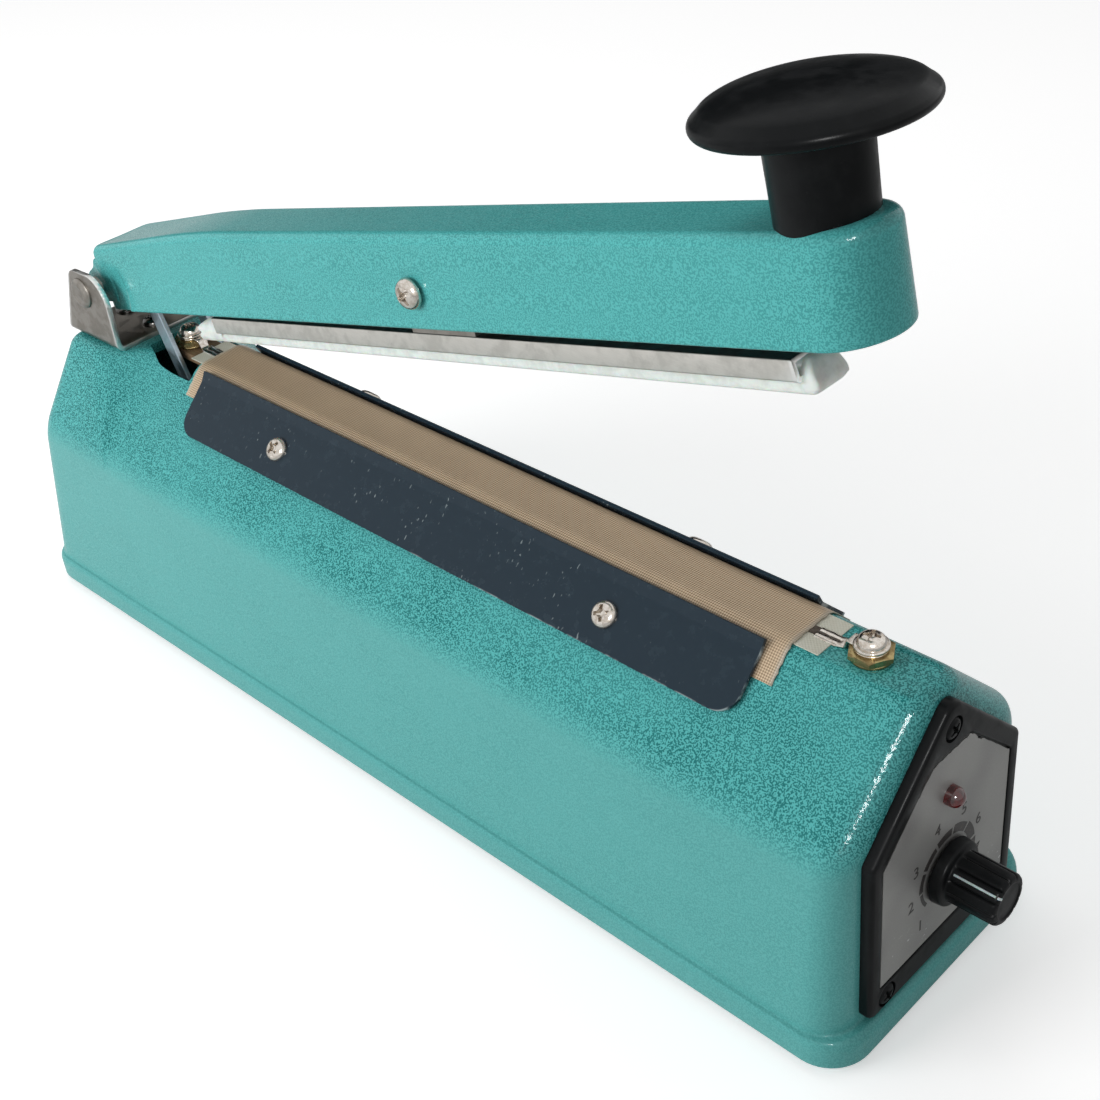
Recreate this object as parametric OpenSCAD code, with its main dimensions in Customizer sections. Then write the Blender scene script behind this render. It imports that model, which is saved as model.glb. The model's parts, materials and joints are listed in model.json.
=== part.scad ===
// Hand impulse heat sealer: a cast base with a heated ridge, and a hinged pressing arm.
// +X runs along the base towards the control panel, +Z is up.
// The origin is on the resting plane, under the middle of the whole outline.

/* [Base] */
// Length of the rim round the foot of the housing
base_length = 326; // [320:1:334]
// Width of the rim
base_width = 80; // [78:1:86]
// Height of the ridge above the underside of the rim
ridge_height = 85.5; // [84:0.5:88]
// Height at which the upright sides turn into the slopes
eave_height = 58; // [56:0.5:60]
// Half the width of the housing at the eaves
eave_half = 35.5; // [34:0.5:37]
// Half the width of the flat on the ridge
ridge_half = 7.6; // [7:0.1:9]
// Thickness of the cast wall
wall = 3; // [2.5:0.1:3.5]
// How far the feet lift the rim
foot_lift = 2.5; // [1.5:0.5:4]

/* [Heater] */
// Length of the plates that clamp the cloth
plate_length = 207; // [200:1:210]
// Width of a plate down the slope
plate_width = 20; // [18:0.5:22]
// Place along the base of the middle of the plates
plate_middle = 17; // [16:0.5:17]
// Spacing of the two screws in a plate
plate_pitch = 124; // [110:1:130]
// Length of the cloth along the ridge
cloth_length = 218; // [212:1:220]
// Place along the base of the front terminal
terminal_front = 141.5; // [141.5:0.5:143]
// Place along the base of the rear terminal
terminal_rear = -106; // [-107:0.5:-106]

/* [Arm] */
// Angle of the open arm above the level
open_angle = 14; // [8:0.5:14]
// Place of the hinge pin along the base
hinge_x = -134; // [-135:0.5:-133]
// Height of the hinge pin above the ridge
hinge_z = 16; // [15.5:0.5:17.5]
// Distance from the hinge pin to the nose of the arm
arm_reach = 290.5; // [288:0.5:296]
// Half the width of the arm along its lower lips
arm_half = 12; // [11.8:0.1:12.6]
// Height of the arm's top above the hinge pin
arm_top = 16.4; // [15:0.2:17]
// Depth of the arm's lower lips below the hinge pin
arm_lip = 7.8; // [7:0.2:8.2]
// Distance from the hinge pin to the middle of the knob
knob_reach = 276; // [272:0.5:278]
// Largest radius of the knob
knob_radius = 23; // [22:0.2:26]

/* [Pressing bar] */
// Distance from the hinge pin to the rear end of the silicone
bar_start = 37.5; // [37:0.5:42]
// Distance from the hinge pin to the front end of the silicone
bar_end = 268; // [264:0.5:268]
// Depth of the silicone's underside below the hinge pin
bar_drop = 18.9; // [18.4:0.1:19]
// Distance from the hinge pin to the screw that the bar rocks on
rock_reach = 158.5; // [150:0.5:165]
// Height of that screw above the hinge pin
rock_rise = 2.6; // [2:0.1:3]

/* [Panel] */
// Height of the time dial above the underside of the rim
dial_z = 35.7; // [34:0.1:36]
// Length of the time dial
dial_length = 15.5; // [14:0.5:17]
// Height of the indicator lamp
lamp_z = 58; // [57:0.5:59]

/* [Hidden] */
$fn = 64;
eps = 0.01;

// clearances: round a shank in what it grips, round a shank in what it passes through,
// round a head in its recess, between parts that only rest on each other, round a turning shaft
grip_gap = 0.08;
pass_gap = 0.25;
head_gap = 0.3;
seat_gap = 0.1;
run_gap = 0.05;

// housing
rim_height = 8;
rim_ledge = 1.5;
wall_foot = rim_height - 1;
foot_half = base_width / 2 - rim_ledge;
front_x = base_length / 2 - 3.5;
rear_foot_x = -base_length / 2 + rim_ledge;
rear_eave_x = rear_foot_x + 9.5;
rear_lean = atan2(rear_eave_x - rear_foot_x, eave_height - wall_foot);
slope = atan2(ridge_height - eave_height, eave_half - ridge_half);

// level platform for the hinge bracket, and the roof between it and the ridge
platform_z = ridge_height - 0.7;
platform_half = 19;
platform_rear = hinge_x - 13;
platform_front = hinge_x + 5;
crease_x = hinge_x + 21;
blend_x = hinge_x + 22;
blend_half = 10.5;

// slot in the ridge for the link
slot_rear = hinge_x + 16.5;
slot_front = hinge_x + 41;
slot_half = 11.6;
slot_widen = 9;

// cable inlet
inlet_z = 20;
inlet_radius = 3.5;
grommet_radius = 6.1;
flange_thick = 1.6;

// base plate, bosses, feet and their screws
sheet = 1.2;
rebate_rear = -base_length / 2 + 4;
rebate_front = front_x - 1.5;
rebate_half = foot_half - 2;
rebate_round = 8;
plate_seat = 2.2;
boss_inset = 15;
boss_x = base_length / 2 - boss_inset;
boss_y = foot_half - 7;
boss_radius = 4.8;
boss_height = 26;
base_shank = 1.25;
foot_x = boss_x - 18;
foot_y = boss_y - 7.5;
foot_radius = 8;
foot_stem = 2;
foot_barb = 1.2;
barb_high = 2;
base_head = 2.9;
base_head_high = 1.6;

// heater stack, from the ridge upwards
strip_width = 10;
strip_depth = 2.5;
tape_half = 6.5;
element_half = 1.3;
tape_top = ridge_height + 0.25;
element_top = tape_top + 0.2;
cloth_under = element_top + 0.05;
cloth_thick = 0.25;
cloth_top = cloth_under + cloth_thick;
cloth_run = 9.5;

// clamping plates
plate_thick = 1;
plate_gap = 0.4;
plate_round = 6;
plate_shank = 1.95;
plate_screw_run = cloth_run + plate_shank + 0.35;

// terminals: ring, brass nut and lug; the lug's tongue runs between two distances
ring_thick = 0.8;
ring_shy = 0.1;
brass_thick = 1.7;
brass_across = 9.6;
lug_thick = 0.6;
lug_half = 1.8;
tongue_near = 6.2;
tongue_far = 14;
terminal_shank = 2;
strip_start = terminal_rear - 6;
strip_end = terminal_front - tongue_far;
tape_start = terminal_rear + tongue_near + 2;
tape_end = terminal_front - tongue_near - 3;
ridge_bore = 25;

// panel
bezel_thick = 3;
bezel_x = front_x + bezel_thick;
bezel_half = eave_half - 7.2;
bezel_bottom = 9.5;
bezel_top = ridge_height - 2.1;
bezel_round = 4;
bezel_eave = bezel_top + bezel_round * (sqrt(2) - 1) - bezel_half;
label_depth = 0.8;
label_thick = 0.6;
panel_shank = 1.4;
panel_head = 2.9;
panel_screw_y = bezel_half - 6.5;
panel_screw_low = bezel_bottom + 4;
panel_screw_high = bezel_top - 6.8;
lamp_radius = 2.5;
bushing_radius = 4;
shaft_radius = 3;
board_x = front_x - 16;
board_thick = 1.6;
board_low = 9;
board_high = 44;
board_hole = shaft_radius + 0.6;
pot_radius = 8.5;
pot_rear = board_x + board_thick + 0.2;
pot_nut = 10.4;
pot_nut_thick = 1.9;
dial_back = bezel_x + 0.4;
dial_tip = dial_back + dial_length;
dial_radius = 6.4;
dial_bore = 10;

// transformer
core_x = 82;
core_half = 28;
core_deep = 34;
core_high = 46;
window_inner = 9;
window_outer = 19;
window_low = 9;
window_high = 37;
coil_gap = 0.4;
strap_wide = 16;
strap_foot = core_half + 5.7;
strap_shank = 1.7;
strap_toe = 4.3;
strap_gap = 0.2;
strap_head = 3.2;
strap_head_high = 2;
coil_proud = 7;

// hinge bracket, pin and arm; the pin's axis is measured from the underside of the rim
axis_z = ridge_height + hinge_z;
ear_half = 17;
ear_thick = 1.5;
ear_front_round = 9;
ear_rear_round = 3.5;
bracket_rear = platform_rear - 0.5;
bracket_long = 26.5;
bracket_screws_x = [hinge_x - 8, hinge_x + 7];
bracket_shank = 1.7;
pin_radius = 3;
neck_half = 11;
neck_round = 5.2;
neck_top = 7.5;
arm_wall = 2.5;
arm_start = 2.2;
arm_corner = 3;
arm_taper = 60;
lip_rise = 1.6;
// recess in each side of the arm, round about the pin, and how far it goes above the pin
recess_round = 17.5;
recess_rise = 3.5;
link_pin_reach = 20;
link_pin_rise = -0.3;
link_pin_radius = 2;
link_pin_half = 10.2;
rock_radius = 2.5;
rock_head_gap = 0.4;
rock_nut_thick = 3.2;
knob_lean = 5.4;
knob_shank = 2.8;

// pressing bar
channel_half = 6.8;
channel_high = 4.9;
channel_wall = 1;
bead_proud = 3.7;
channel_low = -bar_drop + bead_proud;
channel_top = channel_low + channel_high;
channel_slot = 3.2;
channel_rear = bar_start + 14.5;
channel_front = bar_end - 2.5;
silicone_half = 4.6;
// ends of the silicone beyond the channel: their top, their wider middle, the slant of the
// rear end, and the chamfer and the lean of the front end
block_top = channel_top - 0.9;
block_swell = 0.7;
rear_slant = 9;
tip = 1.8;
tip_lean = 2.4;
hanger_half = channel_half - 0.2;
hanger_thick = 1.5;

// link, spring and switch
link_half = 7.8;
link_thick = 1.5;
link_width = 5;
foot_plate_z = 60;
foot_plate_x = slot_front - 3;
foot_plate_long = 31;
spring_bottom = 24;
spring_radius = 5.5;
wire = 1.1;
spring_cup = 1.4;
cup_deep = 4;
switch_x = foot_plate_x + 19;
switch_rear = 10;
switch_long = 28;
switch_half = 5;
switch_high = 16;
switch_proud = 1.4;
plunger_radius = 1.6;
plunger_long = 4.8;
plunger_bore = 7;
stud_radius = 1.5;
stud_places = [-5, 13];
stud_drop = 12;
stud_long = 12;
angle_rear = 8;
angle_long = 24;
angle_foot = 14;
angle_short = 5;
// angle that the arm keeps when the silicone, level again, meets the cloth
closed_angle = asin((cloth_top + seat_gap + bar_drop - axis_z) / rock_reach);
link_drop = link_pin_reach * (sin(open_angle) - sin(closed_angle))
    + link_pin_rise * (cos(open_angle) - cos(closed_angle));
plunger_top = foot_plate_z - link_drop - seat_gap;

// middle of the whole outline along the base, which the origin stands under
middle_x = (dial_tip - base_length / 2) / 2;

// ---- shapes used by several parts ----

// Moves the base frame, with its zero on the rim's underside, to the resting plane.
module stand() {
    translate([-middle_x, 0, foot_lift]) children();
}

// The arm's own frame has its zero at the hinge pin and +X along the arm.
module on_arm() {
    stand() translate([hinge_x, 0, axis_z]) rotate([0, -open_angle, 0]) children();
}

// Local X along the base, Y down the slope from the ridge's edge, Z out of the slope.
module on_slope(side) {
    mirror([0, side < 0 ? 1 : 0, 0])
        translate([0, ridge_half, ridge_height]) rotate([-slope, 0, 0]) children();
}

// Local zero on the rear wall at the cable inlet, with Z out of the wall.
module on_rear() {
    translate([rear_foot_x + (inlet_z - wall_foot) * tan(rear_lean), 0, inlet_z])
        rotate([0, rear_lean - 90, 0]) children();
}

// Four thin round posts at the corners of a rectangle, for hulls.
module posts(x0, x1, half, r, z) {
    for (x = [x0 + r, x1 - r], y = [-half + r, half - r])
        translate([x, y, z]) cylinder(h = eps, r = r, $fn = 32);
}

// Flat rectangle with true round corners.
module rounded_slab(x0, x1, half, r, z, h) {
    translate([x0 + r, -half, z]) cube([x1 - x0 - 2 * r, 2 * half, h]);
    translate([x0, -half + r, z]) cube([x1 - x0, 2 * (half - r), h]);
    for (x = [x0 + r, x1 - r], y = [-half + r, half - r])
        translate([x, y, z]) cylinder(h = h, r = r);
}

// Cylinder along Y, centred on y = 0.
module rod_y(x, z, r, half) {
    translate([x, 0, z]) rotate([90, 0, 0]) cylinder(h = 2 * half, r = r, center = true);
}

// Cross-shaped driver recess, cut downwards from z = 0.
module cross_recess(size) {
    for (a = [0, 90]) rotate([0, 0, a]) cube([size, size * 0.24, size * 0.7], center = true);
}

// Pan-head screw standing on z = 0, with its shank below.
module pan_screw(head_r, head_h, shank_r, length) {
    difference() {
        union() {
            cylinder(h = head_h * 0.45, r = head_r);
            translate([0, 0, head_h * 0.45 - eps])
                cylinder(h = head_h * 0.55 + eps, r1 = head_r, r2 = head_r * 0.62);
            translate([0, 0, -length]) cylinder(h = length + eps, r = shank_r);
        }
        translate([0, 0, head_h]) cross_recess(head_r * 1.15);
    }
}

// Hexagon nut standing on z = 0, its bore along Z.
module hex_nut(across, h, bore) {
    difference() {
        cylinder(h = h, r = across / sqrt(3), $fn = 6);
        translate([0, 0, -1]) cylinder(h = h + 2, r = bore);
    }
}

// ---- housing and what closes it ----

module housing_outside() {
    hull() {
        posts(-base_length / 2, base_length / 2, base_width / 2, 11, 0);
        posts(-base_length / 2, base_length / 2, base_width / 2, 11, rim_height - 2);
        posts(rear_foot_x, base_length / 2 - rim_ledge, foot_half, 9.5, rim_height);
    }
    hull() {
        posts(rear_foot_x, front_x, foot_half, 9, wall_foot);
        posts(rear_eave_x, front_x, eave_half, 8, eave_height);
        posts(blend_x, front_x, ridge_half + 2.5 / tan(slope), 6, ridge_height - 2.5);
        posts(blend_x, front_x - 2.5, ridge_half, 4, ridge_height - eps);
    }
    hull() {
        posts(rear_eave_x, crease_x, eave_half, 8, eave_height);
        posts(platform_rear, platform_front, platform_half, 5, platform_z - eps);
        posts(platform_front, blend_x, blend_half, 4, platform_z - eps);
    }
}

module housing_inside() {
    hull() {
        for (z = [-1, wall_foot])
            posts(rear_foot_x + wall, front_x - wall, foot_half - wall, 6, z);
        posts(rear_eave_x + wall, front_x - wall, eave_half - wall, 5, eave_height - 1.3);
        posts(blend_x + wall, front_x - wall - 2.5, ridge_half + 0.8, 3,
              ridge_height - strip_depth - wall + 0.4);
    }
    hull() {
        posts(rear_eave_x + wall, crease_x - wall, eave_half - wall, 5, eave_height - 1.3);
        posts(platform_rear + wall + 1, platform_front - 1, platform_half - 1.8, 4,
              platform_z - wall);
        posts(platform_front, blend_x - wall, blend_half - 1.8, 3, platform_z - wall);
    }
}

// Plan of the slot in the ridge where the link comes up, narrower towards the bracket.
module slot_plan() {
    polygon([[slot_rear, -8], [slot_rear + slot_widen, -slot_half], [slot_front, -slot_half],
             [slot_front, slot_half], [slot_rear + slot_widen, slot_half], [slot_rear, 8]]);
}

module housing() {
    color([0.30, 0.64, 0.61]) stand() difference() {
        union() {
            difference() {
                housing_outside();
                housing_inside();
            }
            for (x = [-boss_x, boss_x], y = [-boss_y, boss_y])
                translate([x, y, plate_seat]) cylinder(h = boss_height, r = boss_radius);
        }
        // rebate for the base plate, and the screw holes above it
        rounded_slab(rebate_rear, rebate_front, rebate_half, rebate_round, -1, plate_seat + 1);
        for (x = [-boss_x, boss_x], y = [-boss_y, boss_y])
            translate([x, y, 0]) cylinder(h = 18, r = base_shank + grip_gap);
        // slot for the link, and the seat of the insulating strip
        translate([0, 0, eave_height + 8]) linear_extrude(40) slot_plan();
        translate([slot_front - 1, -strip_width / 2 - seat_gap, ridge_height - strip_depth])
            cube([strip_end + seat_gap - slot_front + 1, strip_width + 2 * seat_gap, 4]);
        // terminals
        for (x = [terminal_front, terminal_rear])
            translate([x, 0, ridge_height - ridge_bore])
                cylinder(h = 2 * ridge_bore, r = terminal_shank + grip_gap);
        // plate screws
        for (side = [-1, 1], k = [-0.5, 0.5])
            on_slope(side) translate([plate_middle + k * plate_pitch, plate_screw_run, -12])
                cylinder(h = 20, r = plate_shank + grip_gap);
        // bracket screws
        for (x = bracket_screws_x)
            translate([x, 0, platform_z - 10]) cylinder(h = 20, r = bracket_shank + grip_gap);
        // potentiometer, lamp and panel screws in the front wall
        panel_holes(-wall - 3, pass_gap);
        panel_screw_places() rotate([0, -90, 0]) translate([0, 0, -8])
            cylinder(h = 20, r = panel_shank + grip_gap);
        // cable inlet in the rear wall
        on_rear() translate([0, 0, -8]) cylinder(h = 16, r = grommet_radius + seat_gap);
    }
}

module base_plate() {
    edge = head_gap;
    color([0.55, 0.56, 0.57]) stand() difference() {
        rounded_slab(rebate_rear + edge, rebate_front - edge, rebate_half - edge,
                     rebate_round - edge, plate_seat - sheet, sheet);
        for (x = [-boss_x, boss_x], y = [-boss_y, boss_y])
            translate([x, y, 0]) cylinder(h = 5, r = base_shank + pass_gap);
        for (x = [-foot_x, foot_x], y = [-foot_y, foot_y])
            translate([x, y, 0]) cylinder(h = 5, r = foot_stem + seat_gap);
        for (x = [-strap_foot, strap_foot])
            translate([core_x + x, 0, 0]) cylinder(h = 5, r = strap_shank + grip_gap);
    }
}

module base_screws() {
    color([0.7, 0.7, 0.7]) stand() for (x = [-boss_x, boss_x], y = [-boss_y, boss_y])
        translate([x, y, plate_seat - sheet]) mirror([0, 0, 1])
            pan_screw(base_head, base_head_high, base_shank, 10);
}

// Each foot is a rubber disc with a stem pushed through the base plate.
module feet() {
    color([0.10, 0.10, 0.10]) stand() for (x = [-foot_x, foot_x], y = [-foot_y, foot_y])
        translate([x, y, -foot_lift]) {
            cylinder(h = foot_lift + plate_seat - sheet, r1 = foot_radius - 1, r2 = foot_radius);
            cylinder(h = foot_lift + plate_seat + barb_high, r = foot_stem);
            translate([0, 0, foot_lift + plate_seat])
                cylinder(h = barb_high, r1 = foot_stem + foot_barb, r2 = foot_stem);
        }
}

// Flanged bush in the rear wall that the mains cable would come through.
module cable_grommet() {
    inner = wall + 1.5 * seat_gap;
    color([0.09, 0.09, 0.10]) stand() on_rear() difference() {
        union() {
            translate([0, 0, seat_gap]) cylinder(h = flange_thick, r = grommet_radius + 1.9);
            translate([0, 0, -inner - flange_thick])
                cylinder(h = inner + 2 * flange_thick, r = grommet_radius);
            translate([0, 0, -inner - flange_thick])
                cylinder(h = flange_thick, r = grommet_radius + 1.1);
        }
        translate([0, 0, -inner - 5]) cylinder(h = 20, r = inlet_radius);
    }
}

// ---- hinge ----

// One ear, as a plate in the XZ plane: upright in front with a large round corner, and
// leaning at the rear, with a small one.
module ear_outline() {
    front = bracket_rear + bracket_long;
    hull() {
        translate([front - ear_front_round, axis_z - 2])
            circle(r = ear_front_round, $fn = 96);
        translate([hinge_x - 2.2, axis_z + 3.2]) circle(r = ear_rear_round, $fn = 64);
        translate([bracket_rear, platform_z]) square([bracket_long, 2]);
    }
}

module hinge_bracket() {
    color([0.62, 0.60, 0.58]) stand() difference() {
        union() {
            for (y = [-ear_half + ear_thick, ear_half])
                translate([0, y, 0]) rotate([90, 0, 0]) linear_extrude(ear_thick) ear_outline();
            translate([bracket_rear, -ear_half, platform_z])
                cube([bracket_long, 2 * ear_half, ear_thick]);
        }
        rod_y(hinge_x, axis_z, pin_radius, 30);
        for (x = bracket_screws_x)
            translate([x, 0, platform_z - 1]) cylinder(h = 5, r = bracket_shank + pass_gap);
    }
}

module bracket_screws() {
    color([0.72, 0.72, 0.72]) stand() for (x = bracket_screws_x)
        translate([x, 0, platform_z + ear_thick]) pan_screw(3.4, 2, bracket_shank, 9);
}

// Rivet-headed pin held in the two ears.
module hinge_pin() {
    color([0.66, 0.65, 0.63]) stand() {
        rod_y(hinge_x, axis_z, pin_radius, ear_half);
        for (side = [0, 1]) mirror([0, side, 0])
            translate([hinge_x, -ear_half, axis_z]) rotate([90, 0, 0])
                cylinder(h = 1.5, r1 = pin_radius + 1.6, r2 = pin_radius + 0.2);
    }
}

// ---- heater ----

module heater_strip() {
    color([0.50, 0.42, 0.33]) stand() difference() {
        translate([strip_start, -strip_width / 2, ridge_height - strip_depth])
            cube([strip_end - strip_start, strip_width, strip_depth]);
        translate([terminal_rear, 0, ridge_height - ridge_bore])
            cylinder(h = 2 * ridge_bore, r = terminal_shank + grip_gap);
    }
}

module glass_tape() {
    color([0.80, 0.82, 0.78]) stand()
        translate([tape_start, -tape_half, ridge_height])
            cube([tape_end - tape_start, 2 * tape_half, tape_top - ridge_height]);
}

module heating_element() {
    from = terminal_rear + tongue_near;
    color([0.35, 0.33, 0.31]) stand()
        translate([from, -element_half, tape_top])
            cube([terminal_front - tongue_near - from, 2 * element_half,
                  element_top - tape_top]);
}

// A point of the cross-section, by its distance down the slope and its height above it.
function off_slope(run, rise) =
    [ridge_half + run * cos(slope) + rise * sin(slope),
     ridge_height - run * sin(slope) + rise * cos(slope)];

// Room that the cloth leaves round each terminal and the tongue of its lug.
module cloth_relief() {
    at_terminals() translate([0, 0, -tongue_far / 2]) {
        cylinder(h = tongue_far, r = brass_across / 2 / cos(30) + pass_gap);
        translate([-tongue_far - seat_gap, -lug_half - pass_gap, 0])
            cube([tongue_far + seat_gap, 2 * (lug_half + pass_gap), tongue_far]);
    }
}

// The cloth lies over the ridge and down both slopes, under the plates.
module ptfe_cloth() {
    low = 0.06;
    up = low + cloth_thick;
    fold = 2;
    outer = [off_slope(cloth_run, up), off_slope(fold, up), [ridge_half + 0.2, cloth_top]];
    inner = [[ridge_half + 0.1, cloth_under], off_slope(fold, low), off_slope(cloth_run, low)];
    color([0.60, 0.50, 0.40]) stand() difference() {
        translate([plate_middle - cloth_length / 2, 0, 0])
            rotate([90, 0, 90]) linear_extrude(cloth_length)
                polygon(concat(
                    outer, [for (k = [2 : -1 : 0]) [-outer[k][0], outer[k][1]]],
                    [for (k = [2 : -1 : 0]) [-inner[k][0], inner[k][1]]], inner));
        cloth_relief();
    }
}

// Clamping plate on a slope: its upper strip is bent flatter, over the ridge's edge.
module side_plate() {
    bend = 3;
    difference() {
        translate([plate_middle - plate_length / 2, 0, 0])
            rotate([90, 0, 90]) linear_extrude(plate_length)
                polygon([[bend, plate_gap], [plate_width, plate_gap],
                         [plate_width, plate_gap + plate_thick],
                         [bend + 0.2, plate_gap + plate_thick],
                         [1.1, plate_gap + 1.8], [0.5, plate_gap + 1.9],
                         [0.2, plate_gap + 1], [1, plate_gap + 0.7]]);
        for (k = [-0.5, 0.5])
            translate([plate_middle + k * plate_pitch, plate_screw_run, -5])
                cylinder(h = 20, r = plate_shank + pass_gap);
        for (end = [-1, 1]) plate_corner(end);
    }
}

// Cuts the round lower corner of a plate.
module plate_corner(end) {
    translate([plate_middle + end * plate_length / 2, plate_width, 0])
        difference() {
            translate([-plate_round, -plate_round, -5]) cube([2 * plate_round, 2 * plate_round, 12]);
            translate([-end * plate_round, -plate_round, -6]) cylinder(h = 14, r = plate_round);
        }
}

module side_plate_near() {
    color([0.18, 0.23, 0.27]) stand() on_slope(-1) side_plate();
}

module side_plate_far() {
    color([0.18, 0.23, 0.27]) stand() on_slope(1) side_plate();
}

module plate_screws() {
    color([0.78, 0.77, 0.75]) stand() for (side = [-1, 1], k = [-0.5, 0.5])
        on_slope(side)
            translate([plate_middle + k * plate_pitch, plate_screw_run,
                       plate_gap + plate_thick])
                pan_screw(3.5, 2, plate_shank, 11);
}

// ---- terminals ----

// Runs its children at the front terminal on the ridge and at the rear one on the strip.
module at_terminals() {
    for (x = [terminal_front, terminal_rear])
        translate([x, 0, ridge_height]) mirror([x < 0 ? 1 : 0, 0, 0]) children();
}

module terminal_washers() {
    color([0.45, 0.36, 0.26]) stand() at_terminals() difference() {
        cylinder(h = ring_thick, r = brass_across / 2 - ring_shy);
        translate([0, 0, -1]) cylinder(h = 4, r = terminal_shank + pass_gap);
    }
}

module terminal_nuts() {
    color([0.66, 0.56, 0.30]) stand() at_terminals()
        translate([0, 0, ring_thick]) rotate([0, 0, 30])
            hex_nut(brass_across, brass_thick, terminal_shank + grip_gap);
}

// Crimped lug: a tongue on the element's end, a short ramp, and a ring under the screw.
module element_lugs() {
    top = ring_thick + brass_thick;
    low = element_top - ridge_height;
    color([0.75, 0.74, 0.72]) stand() at_terminals() difference() {
        union() {
            translate([0, 0, top]) cylinder(h = lug_thick, r = 3.8);
            translate([0, lug_half, 0]) rotate([90, 0, 0]) linear_extrude(2 * lug_half)
                polygon([[-tongue_far, low], [-tongue_near, low],
                         [-brass_across / 2 - 0.2, top], [0, top], [0, top + lug_thick],
                         [-brass_across / 2 - 0.6, top + lug_thick],
                         [-tongue_near - 0.3, low + 0.25], [-tongue_far, low + 0.25]]);
        }
        translate([0, 0, -1]) cylinder(h = 10, r = terminal_shank + pass_gap);
    }
}

module terminal_screws() {
    color([0.78, 0.77, 0.75]) stand() at_terminals()
        translate([0, 0, ring_thick + brass_thick + lug_thick]) {
            difference() {
                cylinder(h = 0.8, r = 4);
                translate([0, 0, -1]) cylinder(h = 4, r = terminal_shank);
            }
            translate([0, 0, 0.8]) pan_screw(3.3, 2.2, terminal_shank, 12);
        }
}

// ---- control panel ----

module panel_screw_places() {
    for (p = [[-panel_screw_y, panel_screw_low], [panel_screw_y, panel_screw_low],
              [0, panel_screw_high]])
        translate([bezel_x, p[0], p[1]]) children();
}

// House-shaped outline in the panel's plane, its first axis across and its second upwards.
module bezel_outline() {
    hull() {
        for (y = [-1, 1]) {
            translate([y * (bezel_half - 2), bezel_bottom + 2]) circle(r = 2, $fn = 32);
            translate([y * (bezel_half - 2), bezel_eave - 1]) circle(r = 2, $fn = 32);
        }
        translate([0, bezel_top - bezel_round]) circle(r = bezel_round, $fn = 32);
    }
}

// Outline of the label and of the recess that holds it.
module label_outline(grow) {
    w = bezel_half - 4 + grow;
    low = bezel_bottom + 8.2 - grow;
    eave = bezel_eave - 3;
    top = bezel_top - 12.6 + grow;
    polygon([[-w, low], [w, low], [w, eave], [7 + grow, top], [-7 - grow, top], [-w, eave]]);
}

// Lays a drawing of the panel's plane at the given distance along the base.
module on_panel(x, thick) {
    translate([x, 0, 0]) rotate([90, 0, 90]) linear_extrude(thick) children();
}

// Holes for the potentiometer's bushing and the lamp, from a start behind the front wall.
module panel_holes(from, gap) {
    translate([front_x + from, 0, dial_z]) rotate([0, 90, 0])
        cylinder(h = 14, r = bushing_radius + gap);
    translate([front_x + from, 0, lamp_z]) rotate([0, 90, 0])
        cylinder(h = 14, r = lamp_radius + gap);
}

module panel_bezel() {
    color([0.09, 0.09, 0.10]) stand() difference() {
        on_panel(front_x, bezel_thick) bezel_outline();
        on_panel(bezel_x - label_depth, 2) label_outline(head_gap);
        panel_holes(-1, seat_gap);
        panel_screw_places() rotate([0, -90, 0]) {
            translate([0, 0, -1]) cylinder(h = 8, r = panel_shank + pass_gap);
            translate([0, 0, -1]) cylinder(h = 1 + 1.2, r = panel_head + head_gap);
        }
    }
}

module panel_label() {
    color([0.56, 0.55, 0.53]) stand() difference() {
        on_panel(bezel_x - label_depth, label_thick) label_outline(0);
        panel_holes(-1, seat_gap);
    }
}

module panel_screws() {
    color([0.12, 0.12, 0.12]) stand() panel_screw_places()
        translate([-1.2, 0, 0]) rotate([0, 90, 0])
            pan_screw(panel_head, 1.6, panel_shank, 8);
}

module indicator_lamp() {
    color([0.55, 0.05, 0.06]) stand() translate([0, 0, lamp_z]) rotate([0, 90, 0]) {
        translate([0, 0, front_x - 5]) cylinder(h = 9, r = lamp_radius);
        translate([0, 0, front_x + 4]) difference() {
            sphere(r = lamp_radius);
            translate([0, 0, -5]) cube(10, center = true);
        }
    }
}

module timer_board() {
    half = boss_y - boss_radius - 0.7;
    color([0.14, 0.36, 0.20]) stand() difference() {
        translate([board_x, -half, board_low]) cube([board_thick, 2 * half, board_high]);
        translate([board_x - board_thick, 0, dial_z]) rotate([0, 90, 0])
            cylinder(h = 3 * board_thick, r = board_hole);
    }
}

// Body behind the front wall, and the threaded bushing that comes through it.
module potentiometer() {
    front = front_x - wall - seat_gap;
    color([0.35, 0.37, 0.38]) stand() translate([0, 0, dial_z]) rotate([0, 90, 0])
        difference() {
            union() {
                translate([0, 0, pot_rear]) cylinder(h = front - pot_rear, r = pot_radius);
                translate([0, 0, pot_rear + 1])
                    cylinder(h = bezel_x + 2 - pot_rear - 1, r = bushing_radius);
            }
            translate([0, 0, pot_rear + 2]) cylinder(h = 30, r = shaft_radius + run_gap);
        }
}

module potentiometer_nut() {
    color([0.72, 0.71, 0.68]) stand()
        translate([bezel_x - label_depth + label_thick, 0, dial_z]) rotate([0, 90, 0])
            hex_nut(pot_nut, pot_nut_thick, bushing_radius + grip_gap);
}

// ---- inside the base ----

// E and I laminations with the two windows that the coil fills.
module transformer_core() {
    color([0.33, 0.33, 0.34]) stand() translate([core_x, 0, plate_seat]) difference() {
        translate([-core_half, -core_deep / 2, seat_gap])
            cube([2 * core_half, core_deep, core_high]);
        for (x = [-window_outer, window_inner]) translate([x, -core_deep, window_low])
            cube([window_outer - window_inner, 2 * core_deep, window_high - window_low]);
    }
}

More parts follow.
